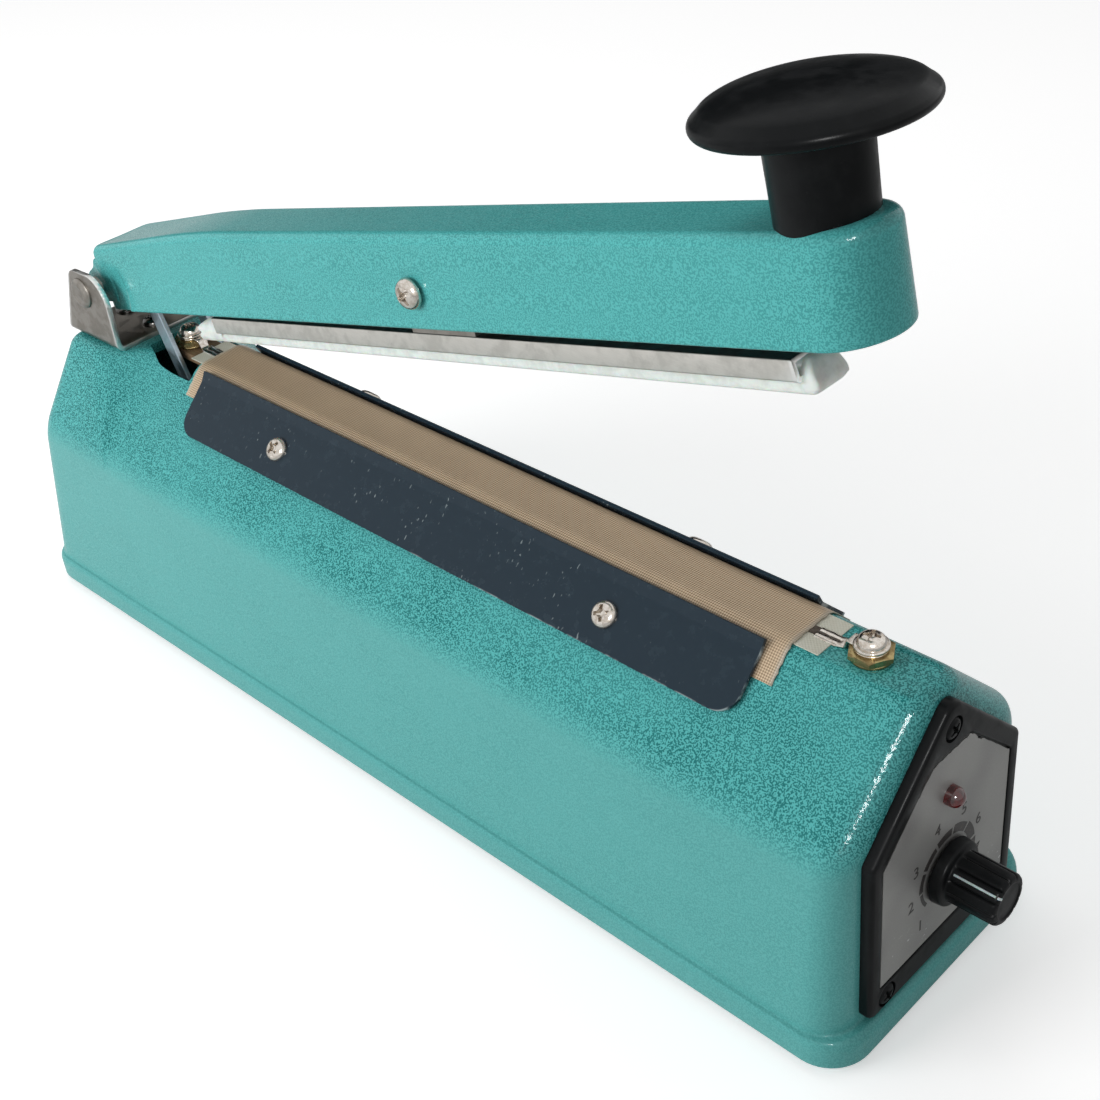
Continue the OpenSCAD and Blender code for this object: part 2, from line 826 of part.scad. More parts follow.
module transformer_coil() {
    out = window_outer - coil_gap;
    in = window_inner + coil_gap;
    color([0.70, 0.42, 0.18]) stand() translate([core_x, 0, plate_seat]) difference() {
        translate([-out, -core_deep / 2 - coil_proud, window_low + coil_gap])
            cube([2 * out, core_deep + 2 * coil_proud,
                  window_high - window_low - 2 * coil_gap]);
        translate([-in, -core_deep / 2 - coil_gap, 0])
            cube([2 * in, core_deep + 2 * coil_gap, core_high]);
    }
}

// Steel band over the core with two feet on the base plate.
module transformer_strap() {
    side = core_half + strap_gap;
    color([0.60, 0.61, 0.62]) stand() translate([core_x, -strap_wide / 2, plate_seat + seat_gap])
        difference() {
            union() {
                for (x = [-side - sheet, side])
                    translate([x, 0, 0])
                        cube([sheet, strap_wide, core_high + sheet + strap_gap]);
                for (x = [-strap_foot - strap_toe, side])
                    translate([x, 0, 0])
                        cube([strap_foot + strap_toe - side, strap_wide, sheet]);
                translate([-side - sheet, 0, core_high + strap_gap])
                    cube([2 * (side + sheet), strap_wide, sheet]);
            }
            for (x = [-strap_foot, strap_foot])
                translate([x, strap_wide / 2, -1]) cylinder(h = 4, r = strap_shank + pass_gap);
        }
}

module transformer_screws() {
    color([0.7, 0.7, 0.7]) stand() for (x = [-strap_foot, strap_foot])
        translate([core_x + x, 0, plate_seat + seat_gap + sheet])
            pan_screw(strap_head, strap_head_high, strap_shank, 2 * sheet);
}

module microswitch() {
    color([0.12, 0.12, 0.13]) stand() difference() {
        translate([switch_x - switch_rear, -switch_half,
                   plunger_top - switch_proud - switch_high])
            cube([switch_long, 2 * switch_half, switch_high]);
        translate([switch_x, 0, plunger_top - plunger_bore])
            cylinder(h = 2 * plunger_bore, r = plunger_radius + run_gap);
        for (x = stud_places)
            rod_y(switch_x + x, plunger_top - stud_drop, stud_radius + seat_gap,
                  2 * switch_half);
    }
}

// Angle plate that holds the microswitch on two studs and stands on the base plate.
module switch_bracket() {
    side = switch_half + 2 * seat_gap;
    color([0.6, 0.6, 0.6]) stand() {
        translate([switch_x - angle_rear, side, plate_seat + seat_gap])
            cube([angle_long, sheet, plunger_top - plate_seat - angle_short]);
        translate([switch_x - angle_rear, side, plate_seat + seat_gap])
            cube([angle_long, angle_foot, sheet]);
        for (x = stud_places)
            translate([switch_x + x, side + sheet / 2, plunger_top - stud_drop])
                rotate([90, 0, 0]) cylinder(h = stud_long, r = stud_radius);
    }
}

module switch_plunger() {
    color([0.75, 0.20, 0.15]) stand()
        translate([switch_x, 0, plunger_top - plunger_long])
            cylinder(h = plunger_long, r = plunger_radius);
}

// Cup on a post that the return spring stands in.
module spring_seat() {
    inside = spring_radius + wire / 2 + 0.4;
    color([0.55, 0.56, 0.57]) stand() translate([foot_plate_x, 0, plate_seat + seat_gap])
        difference() {
            cylinder(h = spring_bottom - plate_seat + cup_deep, r = inside + spring_cup);
            translate([0, 0, spring_bottom - plate_seat - seat_gap])
                cylinder(h = 3 * cup_deep, r = inside);
        }
}

// Helical return spring, as a chain of short round rods along the helix.
module return_spring() {
    turns = 6;
    steps = 14;
    low = spring_bottom + wire / 2 + 0.2;
    high = foot_plate_z - wire / 2 - 0.2;
    function place(k) = [foot_plate_x + spring_radius * cos(360 * k / steps),
                         spring_radius * sin(360 * k / steps),
                         low + (high - low) * k / (turns * steps)];
    color([0.68, 0.67, 0.65]) stand() for (k = [0 : turns * steps - 1])
        hull() {
            translate(place(k)) sphere(r = wire / 2, $fn = 6);
            translate(place(k + 1)) sphere(r = wire / 2, $fn = 6);
        }
}

// ---- arm ----

// Solid outline of the arm, widest along its lips and round at the nose.
module arm_outside(shrink) {
    low = -arm_lip - (shrink > 0 ? 5 : 0);
    top = arm_top - shrink;
    edge = arm_half - 1.1;
    hull() {
        for (y = [-1, 1]) {
            translate([arm_start + arm_corner + shrink, y * (arm_half - arm_corner), low])
                cylinder(h = eps, r = arm_corner - shrink, $fn = 32);
            translate([arm_start + 4, y * (edge - 4), arm_top - 4.2 - shrink])
                cylinder(h = eps, r = 4 - shrink * 0.9, $fn = 32);
            translate([arm_taper, y * (edge - 4), top - eps])
                cylinder(h = eps, r = 3.2 - shrink * 0.9, $fn = 32);
            translate([arm_taper, y * (edge - 4), top - 1.6])
                cylinder(h = eps, r = 4 - shrink * 0.9, $fn = 32);
        }
        translate([arm_reach - arm_half - 1.5, 0, low + (shrink > 0 ? 0 : lip_rise)])
            cylinder(h = eps, r = arm_half - shrink, $fn = 48);
        translate([arm_reach - edge, 0, top - 1.6])
            cylinder(h = eps, r = edge - shrink, $fn = 48);
        translate([arm_reach - edge, 0, top - eps])
            cylinder(h = eps, r = edge - 1.4 - shrink, $fn = 48);
    }
}

// Narrow neck that goes between the ears, round about the hinge pin.
module arm_neck() {
    hull() {
        rod_y(0, 0, neck_round, neck_half);
        translate([arm_start + 4, -neck_half, -neck_round])
            cube([4, 2 * neck_half, neck_round + neck_top]);
    }
}

// Shallow recess in the side of the arm, that lets it turn close beside an ear.
module ear_recess() {
    rod = 2 * recess_round;
    translate([0, -neck_half, 0]) intersection() {
        rotate([90, 0, 0]) cylinder(h = arm_half, r = recess_round, $fn = 96);
        translate([-recess_round, -arm_half, -recess_round])
            cube([rod, rod, recess_round + recess_rise]);
    }
}

module arm_shell() {
    color([0.30, 0.64, 0.61]) on_arm() difference() {
        union() {
            arm_outside(0);
            arm_neck();
        }
        arm_outside(arm_wall);
        for (side = [0, 1]) mirror([0, side, 0]) ear_recess();
        // inside of the neck
        translate([-20, -neck_half + arm_wall, -20])
            cube([arm_start + 28, 2 * (neck_half - arm_wall), 20 + neck_top - arm_wall / 2]);
        rod_y(0, 0, pin_radius + run_gap, 30);
        rod_y(link_pin_reach, link_pin_rise, link_pin_radius, link_pin_half + 0.1);
        rod_y(rock_reach, rock_rise, rock_radius, 30);
        translate([knob_reach, 0, 0]) cylinder(h = 40, r = knob_shank + pass_gap);
    }
}

// Mushroom knob: a slightly tapered stem under a shallow cap with a round rim. The stem's
// foot is cut to the arm's top, because the knob stands a little more upright than the arm.
module arm_knob() {
    stem = 18;
    stem_radius = 10.1;
    widening = 0.4;
    rim_z = 18.8;
    rim_radius = 1.6;
    cap = 26.3;
    flare = knob_radius - rim_radius - stem_radius - widening;
    color([0.07, 0.07, 0.08]) on_arm() translate([knob_reach, 0, arm_top]) difference() {
        rotate([0, knob_lean, 0]) rotate_extrude() polygon(concat(
            [[0, -3], [stem_radius, -3], [stem_radius + widening, stem - 1]],
            [for (a = [0 : 15 : 90]) [stem_radius + widening + flare * sin(a),
                                      rim_z - cos(a)]],
            [for (a = [-60 : 20 : 60]) [knob_radius - rim_radius + rim_radius * cos(a),
                                        rim_z + 1.4 + rim_radius * sin(a)]],
            [for (a = [75 : -12.5 : 0]) [(knob_radius - rim_radius) * sin(a),
                                         rim_z + 3 + (cap - rim_z - 3) * cos(a)]]));
        translate([0, 0, -10]) cube([60, 60, 20], center = true);
        translate([0, 0, -1]) cylinder(h = 15, r = knob_shank + grip_gap);
    }
}

module knob_screw() {
    color([0.7, 0.7, 0.7]) on_arm()
        translate([knob_reach, 0, arm_top - arm_wall - seat_gap]) mirror([0, 0, 1])
            pan_screw(5, 3, knob_shank, arm_wall + 12.5);
}

// Spacer tube round the hinge pin between the neck's walls.
module pivot_bush() {
    half = neck_half - arm_wall - 0.05;
    color([0.66, 0.56, 0.30]) on_arm() difference() {
        rod_y(0, 0, pin_radius + 1.8, half);
        rod_y(0, 0, pin_radius + run_gap, half + 2);
    }
}

module link_pin() {
    color([0.68, 0.67, 0.65]) on_arm()
        rod_y(link_pin_reach, link_pin_rise, link_pin_radius, link_pin_half);
}

module rock_screw() {
    reach = arm_half + rock_head_gap;
    color([0.74, 0.73, 0.70]) on_arm() translate([rock_reach, -reach, rock_rise])
        rotate([90, 0, 0]) pan_screw(4, 2.4, rock_radius, 2 * reach + rock_nut_thick + 0.8);
}

module rock_nut() {
    color([0.74, 0.73, 0.70]) on_arm()
        translate([rock_reach, arm_half + rock_head_gap + rock_nut_thick, rock_rise])
            rotate([90, 0, 0]) hex_nut(8, rock_nut_thick, rock_radius);
}

// ---- pressing bar ----

// Channel open below, with inward lips that hold the silicone.
module bar_channel() {
    inside = channel_half - channel_wall;
    color([0.66, 0.65, 0.64]) on_arm() translate([channel_rear, 0, 0])
        rotate([90, 0, 90]) linear_extrude(channel_front - channel_rear)
            difference() {
                translate([-channel_half, channel_low])
                    square([2 * channel_half, channel_high]);
                translate([-inside, channel_low + channel_wall])
                    square([2 * inside, channel_high - 2 * channel_wall]);
                translate([-channel_slot, channel_low - 1])
                    square([2 * channel_slot, channel_wall + 2]);
            }
}

// Two lugs on the channel's back that the rock screw goes through.
module bar_hanger() {
    color([0.60, 0.60, 0.60]) on_arm() difference() {
        union() {
            for (y = [-hanger_half, hanger_half - hanger_thick]) translate([0, y, 0]) {
                translate([rock_reach, hanger_thick, rock_rise]) rotate([90, 0, 0])
                    cylinder(h = hanger_thick, r = 5);
                translate([rock_reach - 5, 0, channel_top])
                    cube([10, hanger_thick, rock_rise - channel_top]);
            }
            translate([rock_reach - 12, -hanger_half, channel_top])
                cube([24, 2 * hanger_half, 1.2]);
        }
        rod_y(rock_reach, rock_rise, rock_radius + run_gap, 20);
    }
}

// Cross-section of the silicone where it stands clear of the channel.
module block_section() {
    side = [[silicone_half, -bar_drop], [silicone_half + block_swell, channel_low - 1],
            [silicone_half + block_swell / 2, channel_low + 1.8],
            [silicone_half - 1.2, block_top]];
    polygon(concat(side, [for (k = [3 : -1 : 0]) [-side[k][0], side[k][1]]]));
}

// Silicone strip: a bead below the lips, a waist between them and a keeper inside, and at
// each end a full block beyond the channel.
module silicone_strip() {
    waist = channel_slot - seat_gap;
    keeper = channel_half - channel_wall - 0.8;
    before = channel_rear - seat_gap;
    after = channel_front + seat_gap;
    lap = 0.5;
    color([0.82, 0.84, 0.82]) on_arm() {
        translate([before - lap, 0, 0]) rotate([90, 0, 90])
            linear_extrude(after - before + 2 * lap) {
                translate([-silicone_half, -bar_drop])
                    square([2 * silicone_half, bead_proud - seat_gap / 2]);
                translate([-waist, -bar_drop])
                    square([2 * waist, bead_proud + channel_wall + 1]);
                translate([-keeper, channel_low + channel_wall + seat_gap])
                    square([2 * keeper, channel_high - 2 * (channel_wall + seat_gap)]);
            }
        intersection() {
            translate([bar_start, 0, 0]) rotate([90, 0, 90])
                linear_extrude(bar_end + tip - bar_start) block_section();
            translate([0, 10, 0]) rotate([90, 0, 0]) linear_extrude(20) {
                polygon([[bar_start, -bar_drop], [before, -bar_drop], [before, block_top],
                         [bar_start + rear_slant, block_top], [bar_start, channel_low + 0.8]]);
                polygon([[after, -bar_drop], [bar_end, -bar_drop],
                         [bar_end + tip, -bar_drop + tip],
                         [bar_end + tip - tip_lean, block_top], [after, block_top]]);
            }
        }
    }
}

// ---- link ----

// Fork with a strip on each side, its foot plate squeezing the return spring.
module link_fork() {
    // where the link pin stands when the arm is open, in the base frame
    pin_x = hinge_x + link_pin_reach * cos(open_angle) - link_pin_rise * sin(open_angle);
    pin_z = axis_z + link_pin_reach * sin(open_angle) + link_pin_rise * cos(open_angle);
    low_z = foot_plate_z + link_thick / 2;
    lean = atan2(foot_plate_x - pin_x, pin_z - low_z);
    length = norm([foot_plate_x - pin_x, pin_z - low_z]);
    color([0.50, 0.56, 0.60]) stand() difference() {
        union() {
            for (y = [-link_half, link_half - link_thick])
                translate([pin_x, y, pin_z]) rotate([0, 180 - lean, 0]) {
                    translate([-link_width / 2, 0, 0]) cube([link_width, link_thick, length]);
                    translate([0, link_thick, 0]) rotate([90, 0, 0])
                        cylinder(h = link_thick, r = 3.8);
                }
            translate([foot_plate_x - 7, -link_half, foot_plate_z])
                cube([foot_plate_long, 2 * link_half, link_thick]);
        }
        rod_y(pin_x, pin_z, link_pin_radius + run_gap, 20);
    }
}

// ---- time dial ----

// Fluted knob with a skirt, hollow behind over the potentiometer's nut.
module dial_knob() {
    chamfer = 1.2;
    color([0.07, 0.07, 0.08]) stand() translate([dial_back, 0, dial_z]) rotate([0, 90, 0])
        difference() {
            union() {
                cylinder(h = 3.2, r1 = dial_radius + 1.9, r2 = dial_radius + 1.5);
                cylinder(h = dial_length - chamfer, r = dial_radius);
                translate([0, 0, dial_length - chamfer])
                    cylinder(h = chamfer, r1 = dial_radius, r2 = dial_radius - 1);
            }
            translate([0, 0, -1]) cylinder(h = dial_bore + 1, r = shaft_radius);
            translate([0, 0, -1]) cylinder(h = pot_nut_thick + 1.3, r = pot_nut / 2 + 1);
            for (a = [0 : 30 : 330]) rotate([0, 0, a])
                translate([dial_radius + 1, 0, 3.8]) cylinder(h = 20, r = 1.3, $fn = 24);
        }
}

module dial_shaft() {
    from = pot_rear + 2.1;
    color([0.7, 0.7, 0.7]) stand() translate([from, 0, dial_z]) rotate([0, 90, 0])
        cylinder(h = dial_back + dial_bore - seat_gap - from, r = shaft_radius);
}

housing();
base_plate();
base_screws();
feet();
cable_grommet();
hinge_bracket();
bracket_screws();
hinge_pin();
heater_strip();
glass_tape();
heating_element();
ptfe_cloth();
side_plate_near();
side_plate_far();
plate_screws();
terminal_washers();
terminal_nuts();
element_lugs();
terminal_screws();
panel_bezel();
panel_label();
panel_screws();
indicator_lamp();
timer_board();
potentiometer();
potentiometer_nut();
transformer_core();
transformer_coil();
transformer_strap();
transformer_screws();
microswitch();
switch_bracket();
switch_plunger();
spring_seat();
return_spring();
arm_shell();
arm_knob();
knob_screw();
pivot_bush();
link_pin();
rock_screw();
rock_nut();
bar_channel();
bar_hanger();
silicone_strip();
link_fork();
dial_knob();
dial_shaft();
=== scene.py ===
"""Looks of a hand impulse heat sealer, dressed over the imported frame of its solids.

Sizes are in millimetres in the base's frame: zero on the underside of the rim, +X towards the
control panel, +Z up. They become metres in the shared frame when a mesh is made.
"""

import json

import bmesh
import bpy
import numpy as np
from mathutils import Matrix, Vector


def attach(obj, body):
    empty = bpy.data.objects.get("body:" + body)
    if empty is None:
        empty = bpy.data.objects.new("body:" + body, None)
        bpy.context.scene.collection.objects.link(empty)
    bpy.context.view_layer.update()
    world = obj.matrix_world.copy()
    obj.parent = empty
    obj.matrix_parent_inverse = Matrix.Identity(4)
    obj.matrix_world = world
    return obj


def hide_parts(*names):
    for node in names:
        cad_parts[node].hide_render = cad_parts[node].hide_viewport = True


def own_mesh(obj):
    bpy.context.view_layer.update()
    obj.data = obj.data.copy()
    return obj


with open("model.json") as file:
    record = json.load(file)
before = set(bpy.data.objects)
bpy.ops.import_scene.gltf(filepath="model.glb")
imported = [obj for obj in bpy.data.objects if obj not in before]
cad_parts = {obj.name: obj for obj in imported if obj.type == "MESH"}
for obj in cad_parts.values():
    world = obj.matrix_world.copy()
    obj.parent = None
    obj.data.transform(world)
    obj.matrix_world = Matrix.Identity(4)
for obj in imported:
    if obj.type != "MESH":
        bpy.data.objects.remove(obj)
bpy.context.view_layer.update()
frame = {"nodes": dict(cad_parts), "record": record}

# ---- sizes shared by the pieces, in millimetres ----

MM = 0.001
MIDDLE_X = 7.7
FOOT_LIFT = 2.5
BASE_HALF_LONG = 163.0
BASE_HALF_WIDE = 40.0
RIM_HIGH = 8.0
EAVE_Z = 58.0
RIDGE_Z = 85.5
RIDGE_HALF = 7.6
FRONT_X = 159.5
SLOPE = np.arctan2(RIDGE_Z - EAVE_Z, 35.5 - RIDGE_HALF)
REAR_LEAN = np.arctan2(9.5, EAVE_Z - 7.0)
PLATFORM_Z = 84.8
ZERO = np.array([-MIDDLE_X, 0.0, FOOT_LIFT])      # the base's zero, in the shared frame

HINGE = np.array([-134.0, 0.0, 101.5])
OPEN_ANGLE = np.radians(14.0)
ARM_HALF = 12.0
KNOB_REACH = 276.0
ARM_TOP = 16.4

PLATE_MIDDLE = 17.0
PLATE_LONG = 207.0
PLATE_WIDE = 20.0
PLATE_GAP = 0.4
PLATE_THICK = 1.0
PLATE_SCREWS = [PLATE_MIDDLE - 62.0, PLATE_MIDDLE + 62.0]
SCREW_RUN = 11.8
CLOTH_LONG = 218.0
CLOTH_RUN = 9.5
CLOTH_THICK = 0.25
CLOTH_TOP = 86.25
TERMINALS = [(141.5, 1.0), (-106.0, -1.0)]

BEZEL_X = 162.5
PANEL_SCREWS = [(-21.8, 13.5), (21.8, 13.5), (0.0, 76.6)]
DIAL_Z = 35.7
DIAL_BACK = 162.9
LAMP_Z = 58.0

HANDLE = 0.5523          # cubic handle that makes a quarter turn round


# ---- geometry ----

def unit(v):
    """Vector divided by its length."""
    return v / np.maximum(np.linalg.norm(v, axis=-1, keepdims=True), 1e-12)


def smooth(t):
    """Smooth step: 0 up to 0, 1 from 1 on, and a cubic between them."""
    t = np.clip(t, 0, 1)
    return t * t * (3 - 2 * t)


def stretch(values, shape):
    """Values for each corner, repeated over the rest of the shape."""
    a = np.asarray(values, float)
    while a.ndim < len(shape):
        a = a[..., None]
    return np.broadcast_to(a, shape)


def round_corner(enter, corner, leave, t):
    """Cubic from enter to leave whose handles reach HANDLE of the way to the corner."""
    a, b = enter + (corner - enter) * HANDLE, leave + (corner - leave) * HANDLE
    return ((1 - t) ** 3 * enter + 3 * (1 - t) ** 2 * t * a
            + 3 * (1 - t) * t ** 2 * b + t ** 3 * leave)


def soft_path(corners, before, after, straight, arc):
    """Path through corner points. Each leg is straight; at each inner corner it leaves the legs
    at the distances before and after it and turns there. The other axes of the array are as
    many paths side by side."""
    corners = np.asarray(corners, float)
    count = len(corners)
    before = stretch(before, corners.shape[:-1])[..., None]
    after = stretch(after, corners.shape[:-1])[..., None]
    tail = (1,) * (corners.ndim - 1)
    rows, here = [], corners[0]
    for i in range(1, count):
        corner = corners[i]
        last = i == count - 1
        enter = corner if last else corner + unit(corners[i - 1] - corner) * before[i]
        t = (np.arange(straight[i - 1]) / straight[i - 1]).reshape(-1, *tail)
        rows.append(here + (enter - here) * t)
        if last:
            break
        leave = corner + unit(corners[i + 1] - corner) * after[i]
        t = (np.arange(arc[i - 1]) / arc[i - 1]).reshape(-1, *tail)
        rows.append(round_corner(enter, corner, leave, t))
        here = leave
    rows.append(corners[-1][None])
    return np.concatenate(rows)


def soft_loop(corners, cut, arc=5):
    """Closed outline: every corner of the polygon is cut off at the distance cut along both its
    sides and turned there."""
    c = np.asarray(corners, float)
    cut = stretch(cut, (len(c),))[:, None]
    enter = c + unit(np.roll(c, 1, 0) - c) * cut
    leave = c + unit(np.roll(c, -1, 0) - c) * cut
    t = np.linspace(0, 1, arc + 1)[None, :, None]
    points = round_corner(enter[:, None], c[:, None], leave[:, None], t)
    return points.reshape(-1, c.shape[1])


def net(points, wrap_u=False, wrap_v=False):
    """Patch of quads between the neighbours of a rectangular array of points."""
    nu, nv = points.shape[:2]
    index = np.arange(nu * nv).reshape(nu, nv)
    if wrap_u:
        index = np.vstack([index, index[:1]])
    if wrap_v:
        index = np.hstack([index, index[:, :1]])
    quads = np.stack([index[:-1, :-1], index[1:, :-1], index[1:, 1:], index[:-1, 1:]], -1)
    return points.reshape(-1, 3), quads.reshape(-1, 4).tolist()


def slab(outline, low, high):
    """Prism along Z: a flat outline at two heights, joined by a band of quads and closed by a
    face on each end."""
    n = len(outline)
    points = np.concatenate([np.c_[outline, np.full(n, low)], np.c_[outline, np.full(n, high)]])
    ring = np.arange(n)
    after = np.roll(ring, -1)
    band = np.stack([ring, after, after + n, ring + n], -1).tolist()
    return points, band + [ring[::-1].tolist(), (ring + n).tolist()]


def lathe(profile, around=48, closed=False):
    """Surface of revolution: each point of the profile, a radius and a height, goes round Z. A
    closed profile makes a ring."""
    turn = np.linspace(0, 2 * np.pi, around, endpoint=False)
    r, h = np.asarray(profile, float).T[:, :, None]
    return net(np.stack([r * np.cos(turn), r * np.sin(turn), h + 0 * turn], -1), closed, True)


def turned(corners, cuts, around=48, arc=4):
    """Lathe of a profile with round corners, from its first point on the axis to its last."""
    inner = max(len(corners) - 2, 0)
    profile = soft_path(corners, cuts, cuts, [1] * (inner + 1), [arc] * inner)
    return lathe(profile, around)


def tube(line, radius, around=10):
    """Round tube: a circle carried along a line of points, square to it, its first direction
    kept square to +Z or to +Y, and closed by a point at each end."""
    along = unit(np.gradient(line, axis=0))
    side = unit(np.cross(along, [0.0, 0.0, 1.0]) + 1e-6)
    up = np.cross(side, along)
    turn = np.linspace(0, 2 * np.pi, around, endpoint=False)[None, :, None]
    rings = line[:, None] + radius * (np.cos(turn) * side[:, None] + np.sin(turn) * up[:, None])
    ends = [np.repeat(line[i][None, None], around, 1) for i in (0, -1)]
    return net(np.concatenate([ends[0], rings, ends[1]]), wrap_v=True)


def move(patch, place):
    """The patch with its points sent through a function."""
    return place(np.asarray(patch[0], float)), patch[1]


def moved(patches, place):
    """Each of the patches with its points sent through a function."""
    return [move(patch, place) for patch in patches]


def standing(at, axis=(0, 0, 1), turn=0.0):
    """Function that stands points drawn about Z on a place, their Z along an axis, after a turn
    in degrees about it."""
    z = unit(np.asarray(axis, float))
    x = unit(np.cross([0.0, 0.0, 1.0] if abs(z[2]) < 0.9 else [0.0, 1.0, 0.0], z))
    y = np.cross(z, x)
    c, s = np.cos(np.radians(turn)), np.sin(np.radians(turn))
    rows = np.stack([c * x + s * y, c * y - s * x, z])
    return lambda p: p @ rows + np.asarray(at, float)


def on_arm(p):
    """Points of the arm's frame, zero at the hinge pin and +X along the arm, in the base's."""
    p = np.asarray(p, float)
    c, s = np.cos(OPEN_ANGLE), np.sin(OPEN_ANGLE)
    return np.stack([HINGE[0] + p[..., 0] * c - p[..., 2] * s, p[..., 1],
                     HINGE[2] + p[..., 0] * s + p[..., 2] * c], -1)


def in_arm(p):
    """Reach along the arm and height over it of points of the base's frame."""
    c, s = np.cos(OPEN_ANGLE), np.sin(OPEN_ANGLE)
    x, z = p[:, 0] - HINGE[0], p[:, 2] - HINGE[2]
    return x * c + z * s, z * c - x * s


def on_slope(side):
    """Function from X along the base, Y down the slope from the ridge's edge and Z out of it."""
    c, s = np.cos(SLOPE), np.sin(SLOPE)
    return lambda p: np.stack([p[..., 0], side * (RIDGE_HALF + p[..., 1] * c + p[..., 2] * s),
                               RIDGE_Z - p[..., 1] * s + p[..., 2] * c], -1)


def on_panel(p):
    """Points drawn as across, upwards and out of the panel, in the base's frame."""
    return np.stack([p[..., 2], p[..., 0], p[..., 1]], -1)


def along_bar(p):
    """Points drawn as across, upwards and along, in the arm's frame and then the base's."""
    return on_arm(np.stack([p[..., 2], p[..., 0], p[..., 1]], -1))


def sideways(p):
    """Points drawn as along, upwards and across."""
    return np.stack([p[..., 0], -p[..., 2], p[..., 1]], -1)


def mesh_of(name, points, faces):
    """Mesh of points, in metres of the shared frame, and faces."""
    mesh = bpy.data.meshes.new(name)
    mesh.from_pydata(points, [], faces)
    return mesh


def points_of(mesh):
    """Rows of a mesh's points."""
    flat = np.zeros(len(mesh.vertices) * 3)
    mesh.vertices.foreach_get("co", flat)
    return flat.reshape(-1, 3)


def add(name, data):
    """Object in the scene that shows the data."""
    obj = bpy.data.objects.new(name, data)
    bpy.context.scene.collection.objects.link(obj)
    return obj


def piece(name, patches, slot, body="base", replaces=(), sharp=35.0, bevel=0.0,
          thick=0.0, marks=None):
    """Makes a mesh of the patches, welds their seams, turns their faces outwards and gives it a
    finish. Marks are named numbers for each point, worked out from where it is in millimetres.
    Solidify gives a surface its thickness about its middle and Bevel rounds its edges."""
    points, faces, start = [], [], 0
    for verts, quads in patches:
        points.append(np.asarray(verts, float).reshape(-1, 3))
        faces += [[start + i for i in face] for face in quads]
        start += len(points[-1])
    mesh = mesh_of(name, ((np.concatenate(points) + ZERO) * MM).tolist(), faces)
    work = bmesh.new()
    work.from_mesh(mesh)
    bmesh.ops.remove_doubles(work, verts=work.verts, dist=2e-6)
    bmesh.ops.dissolve_degenerate(work, edges=work.edges, dist=1e-6)
    bmesh.ops.recalc_face_normals(work, faces=work.faces)
    if work.calc_volume(signed=True) < 0:
        bmesh.ops.reverse_faces(work, faces=work.faces)
    work.to_mesh(mesh)
    work.free()
    mesh.update()
    mesh.shade_smooth()
    mesh.set_sharp_from_angle(angle=np.radians(sharp))
    if marks:
        where = points_of(mesh) / MM - ZERO
        for mark, rule in marks.items():
            value = np.asarray(rule(where), np.float32)
            kind = "FLOAT_VECTOR" if value.ndim == 2 else "FLOAT"
            layer = mesh.attributes.new(mark, kind, "POINT")
            layer.data.foreach_set("vector" if value.ndim == 2 else "value", value.ravel())
    obj = add(name, mesh)
    mesh.materials.append(FINISHES[slot])
    if thick:
        solid = obj.modifiers.new("wall", "SOLIDIFY")
        solid.thickness, solid.offset, solid.use_even_offset = thick * MM, 0.0, True
    if bevel:
        edge = obj.modifiers.new("edge", "BEVEL")
        edge.width, edge.segments, edge.limit_method = bevel * MM, 2, "ANGLE"
        edge.angle_limit, edge.harden_normals = np.radians(50), False
    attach(obj, body)
    if replaces:
        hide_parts(*replaces)
    return obj


# ---- finishes ----

def shade(red, green, blue):
    """Display colour, 0 to 1, as the linear colour that the shaders take."""
    c = np.array([red, green, blue], float)
    low, high = c / 12.92, ((c + 0.055) / 1.055) ** 2.4
    return (*np.where(c <= 0.04045, low, high), 1.0)


def feed(tree, node, inputs):
    """Gives each input of a node a constant or another node's output."""
    for key, value in inputs.items():
        if isinstance(value, bpy.types.NodeSocket):
            tree.links.new(value, node.inputs[key])
        else:
            node.inputs[key].default_value = value


def add_node(tree, kind, inputs=None, **settings):
    """New node of a tree, with its settings and inputs."""
    made = tree.nodes.new(kind)
    for key, value in settings.items():
        setattr(made, key, value)
    feed(tree, made, inputs or {})
    return made


def node_tree(block):
    """Node tree of a new material or world."""
    block.use_nodes = True
    return block.node_tree


